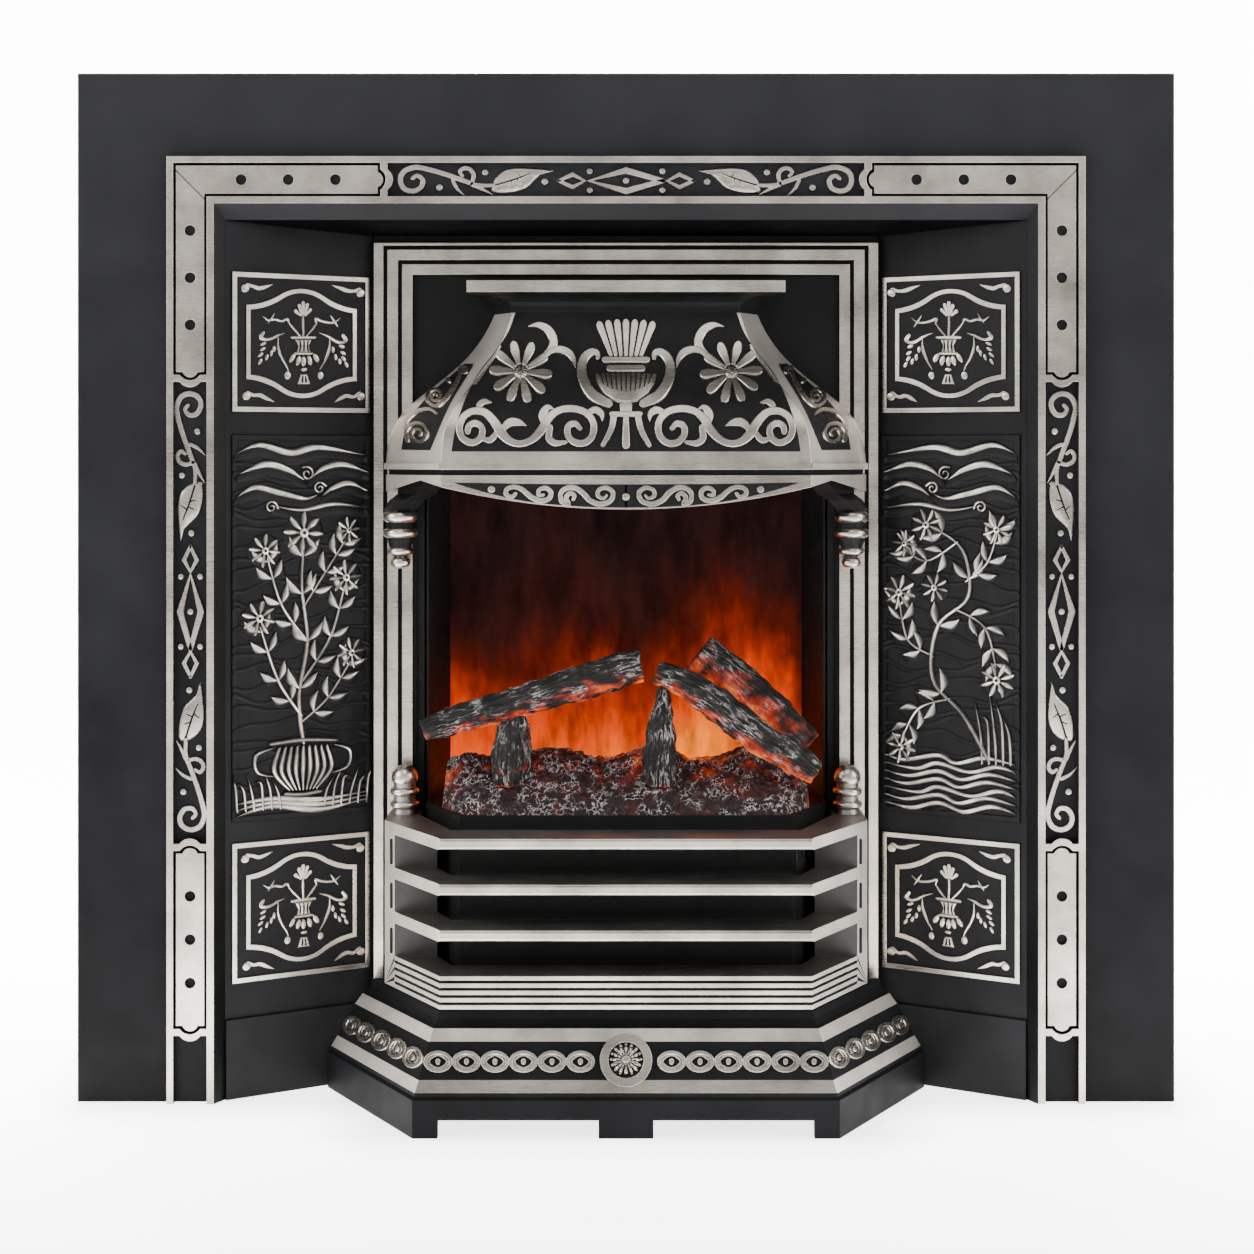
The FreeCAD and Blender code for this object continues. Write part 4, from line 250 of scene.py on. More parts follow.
relief_metal = rubbed()
pewter = brushed("satin_iron_finish", (0.17, 0.158, 0.143), (0.3, 0.281, 0.257), 0.4)
FINISHES = {
    "black_iron": black,
    "polished_iron": bright,
    "relief_iron": black,
    "fastener_steel": brushed("zinc_finish", (0.4, 0.4, 0.41), (0.6, 0.6, 0.6), 0.4),
    "bracket_steel": plain("bracket_finish", (0.02, 0.02, 0.021), (0.035, 0.035, 0.037), 0.5, 0.2),
    "black_sheet": plain("stove_black_finish", (0.003, 0.003, 0.003), (0.0055, 0.0052, 0.005), 0.6,
                         shine=0.15),
    "zinc_sheet": brushed("galvanised_finish", (0.2, 0.205, 0.21), (0.34, 0.345, 0.35), 0.48, (90, 90, 90)),
    "lamp_board": plain("board_finish", (0.012, 0.07, 0.03), (0.02, 0.11, 0.05), 0.4),
    "vane_metal": brushed("foil_finish", (0.6, 0.6, 0.6), (0.8, 0.8, 0.8), 0.2),
    "motor_case": plain("motor_finish", (0.1, 0.1, 0.11), (0.16, 0.16, 0.17), 0.45, 0.4),
    "element_steel": brushed("element_finish", (0.2, 0.18, 0.16), (0.34, 0.31, 0.28), 0.5),
    "black_plastic": plain("plastic_finish", (0.01, 0.01, 0.01), (0.016, 0.016, 0.016), 0.35),
}


# How far the flames stay below their highest, across the screen, and their colours from the foot up
FLAME_DROP = ((0, 0.1), (0.2, 0.075), (0.42, 0.062), (0.58, 0.055), (0.7, 0.04), (0.84, 0.045), (1, 0.1))
FLAME_COLOURS = ((0, (1.35, 0.26, 0.001)), (0.14, (1.1, 0.11, 0)), (0.28, (0.75, 0.05, 0)),
                 (0.42, (0.3, 0.019, 0.0004)), (0.56, (0.1, 0.008, 0.002)), (0.74, (0.034, 0.006, 0.004)),
                 (1, (0.016, 0.005, 0.0045)))
FLAME_FOOT, FLAME_TOP, SCREEN_SIDE = 0.335, 0.57, 0.2


def make_flames():
    """The lit screen: bright low down and to the sides of the logs, fading into dark red above."""
    made = Finish("flame_finish")
    warp = made.noise(7, 5, 0.6, made.stretched((1, 1, 0.55)))
    wisps = made.noise(2.2, 6, 0.62, made.stretched((9, 9, 3.2)))
    tall = made.plus(made.plus(made.axis("Z"), made.swing(warp, -0.22)), made.swing(wisps, -0.12))
    share = made.span(made.axis("X"), -SCREEN_SIDE, SCREEN_SIDE, 0, 1)
    drop = made.ramp(share, [(where, (low, low, low)) for where, low in FLAME_DROP])
    level = made.span(made.plus(tall, drop), FLAME_FOOT, FLAME_TOP, 0, 1)
    tongues = made.noise(1.6, 5, 0.6, made.stretched((30, 30, 10)))
    made.set(Base_Color=(0.001, 0.001, 0.001, 1), Roughness=0.6, Specular_IOR_Level=0.02,
             Emission_Color=made.ramp(level, FLAME_COLOURS),
             Emission_Strength=made.span(tongues, 0.3, 0.7, 0.45, 1.75))
    return made.material


def make_char(name, glow_low, glow_high, glow):
    """Burnt wood: black bark, pale ash on its ridges, and orange light painted on its underside as if from
    the embers below.
    """
    made = Finish(name)
    grain = made.node("ShaderNodeAttribute", attribute_name="bark").outputs["Vector"]
    rough = made.noise(160, 6, 0.68, grain)
    scratches = made.contour(made.noise(250, 4, 0.65, grain), 0.5, 0.06)
    pale = made.times(scratches, made.span(made.noise(42, 3), 0.38, 0.6, 0, 1))
    made.set(Base_Color=made.ramp(pale, [(0, (0.007, 0.006, 0.0055)), (0.35, (0.03, 0.027, 0.025)),
                                         (1, (0.38, 0.36, 0.35))]), Roughness=0.6, Specular_IOR_Level=0.18)
    # Painted light: faces turned downwards glow orange, as if lit by the ember bed
    facing = made.node("ShaderNodeNewGeometry").outputs["Normal"]
    under = made.span(made.axis("Z", facing), glow_low, glow_high, 1, 0)
    fire = made.times(under, made.span(made.noise(38, 4), 0.42, 0.66, 0, 1))
    made.set(Emission_Color=made.ramp(fire, [(0, (0, 0, 0)), (0.35, (0.35, 0.02, 0.001)),
                                             (1, (1, 0.22, 0.008))]), Emission_Strength=glow)
    made.bump(rough, 1.0, 0.006)
    return made.material


def make_embers():
    """Ember bed: black lumps with pale creases, red between them and orange along the back."""
    made = Finish("ember_finish")
    rough = made.noise(130, 5, 0.65)
    scribble = made.contour(made.noise(170, 3, 0.6), 0.5, 0.05)
    pale = made.times(scribble, made.span(made.noise(60, 3), 0.38, 0.56, 0, 1))
    made.set(Base_Color=made.ramp(pale, [(0, (0.006, 0.0055, 0.0055)), (0.4, (0.04, 0.038, 0.038)),
                                         (1, (0.48, 0.47, 0.47))]), Roughness=0.5, Specular_IOR_Level=0.16)
    depth = made.span(made.axis("Y"), -0.005, 0.06, 0.12, 1)
    hollows = made.span(made.noise(46, 4), 0.5, 0.7, 0, 1)
    fire = made.times(hollows, depth)
    made.set(Emission_Color=made.ramp(fire, [(0, (0.012, 0.001, 0.0006)), (0.3, (0.16, 0.01, 0.001)),
                                             (0.75, (0.75, 0.09, 0.006)), (1, (1, 0.26, 0.02))]),
             Emission_Strength=1.1)
    made.bump(rough, 1.0, 0.006)
    return made.material


flames = make_flames()
char = make_char("log_finish", -0.8, -0.15, 1.5)
# The rear log shows the painted glow on more of its faces
rear_lit_char = make_char("rear_log_finish", -0.6, 0.5, 1.3)
embers = make_embers()
FINISHES.update(flame_screen=flames, log_resin=char, ember_resin=embers)


# CAD nodes take their finish by slot, and some of their faces another by where they lie
slot_of = {entry["node"]: entry["material_slot"] for entry in frame["record"]["subparts"]}


def paint(name, finishes, pick):
    """Gives each face of a CAD node one of the finishes."""
    mesh = cad[name].data
    mesh.materials.clear()
    for finish in finishes:
        mesh.materials.append(finish)
    for face in mesh.polygons:
        face.material_index = pick(face.center / MM, face.normal)


for name, thing in cad.items():
    thing.data.materials.clear()
    thing.data.materials.append(FINISHES[slot_of[name]])

SPLAY_ANGLE = math.atan2(73, 130.5)
SPLAY_FOOT = Vector((-372, 6, 0))
SPLAY_ALONG = Vector((math.cos(SPLAY_ANGLE), math.sin(SPLAY_ANGLE), 0))
SPLAY_OUT = Vector((math.sin(SPLAY_ANGLE), -math.cos(SPLAY_ANGLE), 0))


def above_splay(place):
    """Height of a place above the face of the splayed panel on its side."""
    return (Vector((-abs(place.x), place.y, 0)) - SPLAY_FOOT).dot(SPLAY_OUT)


# Where the polished faces lie, in millimetres, and which way they face
STEEP, CANTED = 0.9, 0.25
BORDER_FACE, ARCH_FACE, ARCH_FOOT = -6.4, 68.5, 108
HOOD_HOLLOWS = ((579.9, 585.1), (733, 750.5))
COVER_BANDS = ((39, 49.1), (79, 89.1))
TILE_RIM, ROSETTE_FIELD = 1.7, 15.5
PENDANT_TOP, PENDANT_HEIGHT, FINIAL_FOOT, FINIAL_HEIGHT = 545, 54, 258.9, 46
PENDANT_BEADS = ((-0.19, 0), (-0.46, -0.3), (-0.76, -0.64), (-1, -0.8))
FINIAL_BEADS = ((0.1, 0.26), (0.36, 0.54), (0.64, 1))
SILL_FOOT, SILL_TOP, REED_PITCH, REED = 107.4, 136, 6.4, 3.85
BARS_FOOT, BARS_BACK, POST_SIDE = 137, -70, 222


def in_beads(rows, foot, height, z):
    return any(low - 0.005 <= (z - foot) / height <= high + 0.005 for low, high in rows)


def polish(n):
    """The second finish for a front face, the third, a paler copy with painted sheen, for a cant."""
    return 2 if abs(n.x) > CANTED else 1


def hood_face(p, n):
    hollow = any(low <= p.z <= high for low, high in HOOD_HOLLOWS)
    return 0 if hollow or n.y >= 0.3 or n.z <= -STEEP else polish(n)


def bar_face(p, n):
    upright = abs(n.z) < 0.5
    if upright and p.z < SILL_TOP and (p.z - SILL_FOOT) % REED_PITCH > REED:
        return 3
    # Faces set back behind the bars take the painted shade
    if upright and p.z > BARS_FOOT and p.y > BARS_BACK and abs(p.x) < POST_SIDE and n.y < -0.98:
        return 4
    return 0 if abs(n.z) >= STEEP or n.y >= 0.2 else polish(n)


def cover_face(p, n):
    banded = n.y < 0 and any(low < p.z < high for low, high in COVER_BANDS)
    return polish(n) if banded else 0


rosette_low, rosette_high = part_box("rosette")
rosette_z = (rosette_low[2] + rosette_high[2]) / 2 / MM
paint("front_frame", (plate, bright), lambda p, n: int(p.y < BORDER_FACE and n.y < -STEEP))
paint("head_panel", (painted_shadow_black,), lambda p, n: 0)
paint("arch_panel", (deep, bright), lambda p, n: int(p.y < ARCH_FACE and n.y < -STEEP and p.z > ARCH_FOOT))
paint("hood", (black, bright, cant_painted_sheen), hood_face)
paint("fire_bars", (pewter, bright, cant_painted_sheen, black, set_back_shade_iron), bar_face)
paint("ash_cover", (foot, bright, cant_painted_sheen), cover_face)
paint("rosette", (bright, ground), lambda p, n: int(math.hypot(p.x, p.z - rosette_z) < ROSETTE_FIELD))
for side in ("left", "right"):
    for name in ("upper_tile_", "lower_tile_"):
        paint(name + side, (ground, bright), lambda p, n: int(above_splay(p) > TILE_RIM))
    paint("tall_tile_" + side, (ground,), lambda p, n: 0)
    paint("corbel_" + side, (black, bright),
          lambda p, n: int(in_beads(PENDANT_BEADS, PENDANT_TOP, PENDANT_HEIGHT, p.z)))
    paint("finial_" + side, (pewter, bright),
          lambda p, n: int(in_beads(FINIAL_BEADS, FINIAL_FOOT, FINIAL_HEIGHT, p.z)))


# Ornament
def sight(x, y):
    """Way from the eye through a place in the picture."""
    return Vector(((x - MIDDLE) / FOCAL, 1, (HORIZON - y) / FOCAL)).normalized()


class Flat:
    """A flat ground that ornament lies on, drawn in the picture's coordinates."""

    def __init__(self, point, normal):
        self.point, self.normal = Vector(point) * MM, Vector(normal).normalized()

    def place(self, x, y):
        way = sight(x, y)
        run = (self.point - EYE).dot(self.normal) / way.dot(self.normal)
        return EYE + way * run, self.normal


def tree_of(name):
    mesh = cad[name].data
    return BVHTree.FromPolygons([v.co for v in mesh.vertices], [list(p.vertices) for p in mesh.polygons])


class Skin:
    """The face of a CAD node, drawn in the picture's coordinates."""

    def __init__(self, name):
        self.tree = tree_of(name)

    def place(self, x, y):
        inward = math.copysign(0.5, MIDDLE - x)
        spot = None
        while spot is None:
            way = sight(x, y)
            spot, normal, _, _ = self.tree.ray_cast(EYE, way)
            x += inward
        return spot, (normal if normal.dot(way) < 0 else -normal)


class Panel:
    """The face of a tile on the left splay, drawn in millimetres along it and up."""

    def __init__(self, name, left, right, low, high):
        self.tree = tree_of(name)
        self.left, self.right, self.low, self.high = left, right, low, high

    def place(self, x, y):
        x = min(max(x, self.left), self.right)
        y = min(max(y, self.low), self.high)
        start = SPLAY_FOOT + SPLAY_ALONG * x + SPLAY_OUT * 50 + Vector((0, 0, y))
        spot, _, _, _ = self.tree.ray_cast(start * MM, -SPLAY_OUT)
        return spot, SPLAY_OUT


def through(points, steps, closed=False):
    """A smooth run through points of any number of values."""
    count = len(points)
    run = []
    for i in range(count if closed else count - 1):
        if closed:
            a, b, c, d = (points[(i + k) % count] for k in (-1, 0, 1, 2))
        else:
            a, b, c, d = (points[min(max(i + k, 0), count - 1)] for k in (-1, 0, 1, 2))
        for step in range(steps):
            t = step / steps
            run.append(tuple(0.5 * (2 * q + (r - p) * t + (2 * p - 5 * q + 4 * r - s) * t * t
                                    + (3 * q - p - 3 * r + s) * t ** 3) for p, q, r, s in zip(a, b, c, d)))
    return run if closed else run + [tuple(points[-1])]


def ellipse(x, y, across, up, turn, count):
    """Points round an ellipse that leans by some degrees."""
    run_x, run_y = math.cos(math.radians(turn)), math.sin(math.radians(turn))
    points = []
    for k in range(count):
        a, b = across * math.cos(math.tau * k / count), up * math.sin(math.tau * k / count)
        points.append((x + a * run_x - b * run_y, y + a * run_y + b * run_x))
    return points


def round_end(row, way):
    """Narrowing rows past an end of a ridge, from the ridge outwards."""
    x, y, half, run_x, run_y = row
    return [(x + way * run_x * half * math.sin(t), y + way * run_y * half * math.sin(t), half * math.cos(t),
             run_x, run_y) for t in (0.5, 1.0, 1.45)]


# Across a ridge: place as a share of its half width, and height as a share above or in millimetres below
FLAT_SECTION = ((-1, -0.3), (-0.92, 0.72), (-0.76, 1), (0.76, 1), (0.92, 0.72), (1, -0.3))
SOFT_SECTION = ((-1, -0.3), (-0.8, 0.35), (-0.45, 0.82), (0, 1), (0.45, 0.82), (0.8, 0.35), (1, -0.3))
PLATE_STEPS = ((1, -0.3), (0.92, 0.7), (0.8, 1), (0.4, 1.12))
POLISHED, DARK = 0, 1
# A scroll's last reach as a share of its first, and how much thinner it gets
SCROLL_EYE, SCROLL_TAPER = 0.22, 0.35


def lifted(base, height, share):
    return base + (share * height if share > 0 else share)


class Relief:
    """Raised ornament on one ground. Heights are in millimetres above it."""

    def __init__(self, surface, shift=(0, 0, 0)):
        self.surface, self.shift = surface, Vector(shift) * MM
        self.places, self.faces, self.kinds, self.rubs = [], [], [], []

    def add(self, x, y, lift, rub=1):
        spot, normal = self.surface.place(x, y)
        self.places.append(spot + normal * lift * MM + self.shift)
        self.rubs.append(max(rub, 0))
        return len(self.places) - 1

    def face(self, corners, kind):
        self.faces.append(corners)
        self.kinds.append(kind)

    def skin(self, rows, closed, kinds):
        pairs = list(zip(rows, rows[1:])) + ([(rows[-1], rows[0])] if closed else [])
        for here, there in pairs:
            for k in range(len(here) - 1):
                self.face((here[k], here[k + 1], there[k + 1], there[k]), kinds[k])

    def stroke(self, points, height, soft=False, kind=POLISHED, closed=False, steps=5, base=0):
        """A ridge along points of place and half width, with round ends."""
        run = through(points, steps, closed)
        count = len(run)
        rows = []
        for i, (x, y, half) in enumerate(run):
            before, after = (run[(i - 1) % count], run[(i + 1) % count]) if closed else (
                run[max(i - 1, 0)], run[min(i + 1, count - 1)])
            run_x, run_y = after[0] - before[0], after[1] - before[1]
            length = math.hypot(run_x, run_y) or 1
            rows.append((x, y, max(half, 0.12), run_x / length, run_y / length))
        if not closed:
            rows = round_end(rows[0], -1)[::-1] + rows + round_end(rows[-1], 1)
        section = SOFT_SECTION if soft else FLAT_SECTION
        made = [[self.add(x - run_y * half * s, y + run_x * half * s, lifted(base, height, h), h)
                 for s, h in section] for x, y, half, run_x, run_y in rows]
        edge = DARK if soft else kind
        kinds = [edge] + [kind] * (len(section) - 3) + [edge]
        self.skin(made, closed, kinds)

    def rings(self, outline, height, kind=POLISHED, base=0, levels=PLATE_STEPS):
        """A plate over an outline, rounded at its edge."""
        mid_x = sum(x for x, _ in outline) / len(outline)
        mid_y = sum(y for _, y in outline) / len(outline)
        rows = [[self.add(mid_x + (x - mid_x) * share, mid_y + (y - mid_y) * share,
                          lifted(base, height, h), h) for x, y in outline] for share, h in levels]
        for outer, inner in zip(rows, rows[1:]):
            for k in range(len(outline)):
                nxt = (k + 1) % len(outline)
                self.face((outer[k], outer[nxt], inner[nxt], inner[k]), kind)
        self.face(tuple(rows[-1]), kind)

    def blob(self, x, y, across, up=None, turn=0, height=1.6, kind=POLISHED, base=0):
        self.rings(ellipse(x, y, across, up or across, turn, 16), height, kind, base)

    def spiral(self, x, y, radius, turns, start, way, half, height, soft=False):
        """A scroll that winds in to its middle."""
        steps = int(10 * turns)
        points = []
        for k in range(steps + 1):
            t = k / steps
            angle = math.radians(start) + way * math.tau * turns * t
            reach = radius * (1 - t * (1 - SCROLL_EYE))
            points.append((x + reach * math.cos(angle), y + reach * math.sin(angle),
                           half * (1 - SCROLL_TAPER * t)))
        self.stroke(points, height, soft, steps=2)

    def patch(self, first, second, lift, across=24):
        """A thin dark ground between two edges."""
        one, two = through(first, 4), through(second, 4)
        rows = []
        for (ax, ay), (bx, by) in zip(one, two):
            rows.append([self.add(ax + (bx - ax) * k / across, ay + (by - ay) * k / across, lift)
                         for k in range(across + 1)])
        self.skin(rows, False, [DARK] * across)

    def make(self, name, body="insert", left=True, right=True, metal=bright, crisp=24):
        """Turns the ornament into a piece that rides on a body, as drawn, as its mirror image or both."""
        places, faces, kinds = [], [], []
        if left:
            places, faces, kinds = list(self.places), list(self.faces), list(self.kinds)
        if right:
            shift = len(places)
            places += [Vector((-p.x, p.y, p.z)) for p in self.places]
            faces += [tuple(shift + k for k in reversed(f)) for f in self.faces]
            kinds += self.kinds
        mesh = smooth_mesh(name, places, faces, metal, ground)
        mesh.attributes.new("rub", "FLOAT", "POINT").data.foreach_set("value", self.rubs * (left + right))
        for face, kind in zip(mesh.polygons, kinds):
            face.material_index = kind
        mesh.set_sharp_from_angle(angle=math.radians(crisp))
        piece = put(name, mesh)
        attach(piece, body)


# Half of the border's foliage, from its middle outwards: across the band, and along it
LEAF = (
    (-10.5, 70), (-13.4, 91), (-14, 107), (-9.9, 120), (-0.3, 128), (10.2, 130), (13.1, 123), (12.4, 110),
    (7.6, 96), (-0.3, 88), (-6.7, 81))
STEM = (
    (4.6, 126, 2), (4.6, 143, 2.3), (-0.3, 157, 2.6), (-7, 175, 2.8), (-12.4, 193, 3), (-14, 204, 3),
    (-9.5, 214.5, 3), (0, 218, 3), (8.6, 213.5, 3), (10.6, 205, 3), (6, 197.5, 2.8), (-1.6, 196.6, 2.6),
    (-5.4, 202, 2.2), (-2.4, 206, 2))
CURL = (
    (2.9, 149, 2), (-5.1, 147, 2.3), (-11.4, 150, 2.4), (-13, 156, 2.4), (-9.5, 160.4, 2.2), (-5.4, 158, 1.8))
THORNS = (((0, 167, 2), (8, 163, 1.8), (15, 156, 0.3)), ((4.5, 148, 2), (9, 138, 1.8), (14, 129, 0.3)))
VEINS = (
    ((4.5, 126, 0.7), (-1, 108, 0.8), (-7.5, 92, 0.4)),
    ((-0.6, 110, 0.6), (5.5, 112, 0.3)),
    ((-3.6, 102, 0.6), (-9, 106, 0.3)),
    ((-2.2, 105, 0.6), (4, 102, 0.3)))
BORDER_DOTS = ((7, 180, 3.6), (-8.6, 136, 3.4), (1, 78.4, 3.5), (-9.8, 35, 3.3), (9.8, 35, 3.3))
SMALL_DIAMOND = ((0, 65, 1.8), (-6.6, 51.5, 2.6), (0, 40, 2.4), (6.6, 51.5, 2.6))
BIG_DIAMOND = ((0, 37, 2.6), (-10.6, 0, 4), (0, -37, 2.6), (10.6, 0, 4))
# Middle of the left leg, and height of the head, in the picture
LEG_X, LEG_Y, HEAD_Y = 190.8, 611.5, 181
# The head's foliage is this much longer and narrower than the legs'
HEAD_LONGER, HEAD_NARROWER = 1.035, 0.98
MITRE = ((174.5, 168.5, 0.5), (206.5, 200.5, 0.5))


def border_half(relief, lay):
    """Draws half of the foliage, laid by a function of across and along."""
    def laid(points):
        return [(*lay(p[0], p[1]), *p[2:]) for p in points]

    relief.rings(through(laid(LEAF), 3, True), 2.2)
    relief.stroke(laid(STEM), 2.2, steps=4)
    relief.stroke(laid(CURL), 2.2, steps=4)
    for thorn in THORNS:
        relief.stroke(laid(thorn), 2, steps=3)
    for vein in VEINS:
        relief.stroke(laid(vein), 0.5, kind=DARK, base=2.3, steps=3)
    for across, along, radius in BORDER_DOTS:
        relief.blob(*lay(across, along), radius, height=2.4)
    diamond = laid(SMALL_DIAMOND)
    relief.stroke([*diamond, diamond[0]], 2.1, steps=1)


def border_middle(relief, lay):
    middle = [(*lay(across, along), half) for across, along, half in BIG_DIAMOND]
    relief.stroke([*middle, middle[0]], 2.1, steps=1)
    relief.blob(*lay(0, 0), 3.4, height=2.4)


def make_border():
    face = Flat((0, 0, 0), (0, -1, 0))
    legs = Relief(face)
    border_half(legs, lambda a, s: (LEG_X + a, LEG_Y - s))
    border_half(legs, lambda a, s: (LEG_X - a, LEG_Y + s))
    border_middle(legs, lambda a, s: (LEG_X + a, LEG_Y + s))
    legs.stroke(MITRE, 0.3, kind=DARK, base=7.1)
    legs.make("border_foliage_sides")
    head = Relief(face)
    border_half(head, lambda a, s: (MIDDLE - s * HEAD_LONGER, HEAD_Y + a * HEAD_NARROWER))
    head.make("border_foliage_head")
    centre = Relief(face)
    border_middle(centre, lambda a, s: (MIDDLE + s, HEAD_Y + a))
    centre.make("border_diamond_head", right=False)


def wider(points, share):
    return [(x, y, half * share) for x, y, half in points]


def crop(points, left, top, scale):
    """Points measured on an enlarged part of the picture, with half widths in the picture's own units."""
    return [(left + x / scale, top + y / scale, *rest) for x, y, *rest in points]


# Hood: the enlarged part of the picture that it was measured on, as left, top and scale. Its dark grounds
# and the ornament over them start this far above its face, in millimetres
HOOD_CROP = (330, 220, 4.613)
GROUND_LIFT, SEAT = 0.35, 0.3
FLOWER_X, FLOWER_Y = 520.8, 373
PETAL = ((3, 2), (12, 3.1), (22, 4.8), (27, 4.7))
SIDE_SPIRALS = ((419, 434, 12.5, 1.7), (436, 397, 8.5, 1.5), (464.5, 371, 4.6, 1.2))
SIDE_LEAVES = (
    ((409, 441, 1.8), (407, 424, 2), (416, 413, 2), (430, 410, 2), (437, 414, 1.6)),
    ((428, 402, 1.6), (436, 407, 2), (446, 400, 2), (456, 385, 1.8), (461, 374, 1.4)))
FRONT_EDGE = (
    (857, 424), (850, 442), (820, 520), (760, 610), (690, 700), (640, 790), (600, 890), (575, 980),
    (560, 1068))
SIDE_LEFT = ((622, 664), (555, 722), (472, 795), (405, 868), (352, 955), (330, 1060))
SIDE_RIGHT = ((664, 664), (632, 722), (586, 795), (546, 868), (507, 955), (464, 1062))
TENDRILS = (
    ((925, 672, 1.2), (1000, 620, 2.4), (1032, 565, 3.6), (1010, 512, 3.6), (965, 487, 2.6), (916, 495, 0.4)),
    ((1005, 618, 1.4), (1050, 600, 2.8), (1098, 614, 3.2), (1124, 648, 2.2), (1131, 684, 0.4)))
SCROLL_BAND = (
    (636, 978, 2.6), (642, 952, 2.8), (672, 940, 2.8), (702, 962, 2.8), (696, 1005, 3), (658, 1028, 3),
    (614, 1008, 3), (598, 962, 3), (616, 912, 3), (660, 886, 3), (715, 892, 3.4), (760, 935, 4),
    (792, 985, 4.2), (832, 1022, 3.4), (882, 1032, 3), (932, 1014, 3.2), (974, 972, 3.8), (1008, 918, 3.6),
    (1052, 884, 3), (1112, 874, 3), (1176, 890, 3), (1214, 934, 3), (1212, 992, 3), (1176, 1028, 3),
    (1128, 1026, 3), (1097, 992, 2.8), (1100, 952, 2.8), (1132, 942, 2.6), (1152, 962, 2.2))
SCROLL_LEAVES = (
    ((700, 892, 2), (688, 862, 2.6), (712, 842, 2.4), (746, 848, 0.4)),
    ((790, 975, 2), (826, 938, 3.4), (868, 936, 3), (906, 952, 0.4)),
    ((988, 945, 2), (980, 900, 3.2), (1004, 870, 2.6), (1032, 876, 0.4)),
    ((1190, 892, 2), (1224, 880, 2.8), (1252, 898, 2.6), (1256, 930, 0.4)),
    ((700, 1008, 1.6), (738, 1016, 2.6), (770, 982, 2.2), (786, 962, 1.4)),
    ((1016, 960, 2.4), (1010, 1006, 2.8), (1040, 1030, 2.6), (1086, 1026, 1.6)))
HANDLE = (
    (1236, 640, 2), (1232, 618, 2.6), (1206, 614, 3.4), (1174, 640, 4), (1160, 692, 4.2), (1176, 760, 4.4),
    (1220, 818, 4.6), (1286, 852, 3.4))
BOWL = (
    (1222, 712), (1232, 760), (1262, 806), (1310, 840), (1365, 852), (1420, 840), (1468, 806), (1498, 760),
    (1508, 712))
VALANCE_TOP = ((572, 1211), (700, 1213), (850, 1216), (1000, 1218), (1180, 1219), (1370, 1220))
VALANCE_LOW = ((574, 1214), (700, 1252), (850, 1288), (1000, 1310), (1180, 1323), (1370, 1327))
VALANCE_SCROLLS = (
    ((856, 1262, 1.6), (838, 1278, 2), (812, 1264, 2.2), (818, 1240, 2.2), (852, 1231, 2.2), (892, 1246, 2.4),
     (926, 1276, 2.6), (968, 1294, 2.6), (1008, 1286, 2.4), (1020, 1258, 2.2), (998, 1236, 2.2),
     (966, 1244, 2), (962, 1268, 1.8), (984, 1268, 1.4)),
    ((1122, 1288, 1.6), (1128, 1270, 2), (1106, 1260, 2.2), (1088, 1284, 2.2), (1102, 1310, 2),
     (1070, 1300, 2.2), (1064, 1264, 2.2), (1088, 1238, 2.4), (1130, 1236, 2.6), (1166, 1258, 2.6),
     (1198, 1292, 2.6), (1244, 1310, 2.6), (1292, 1296, 2.4), (1306, 1260, 2.2), (1280, 1236, 2.2),
     (1244, 1242, 2), (1234, 1270, 2), (1260, 1284, 1.6), (1276, 1270, 1.2)))


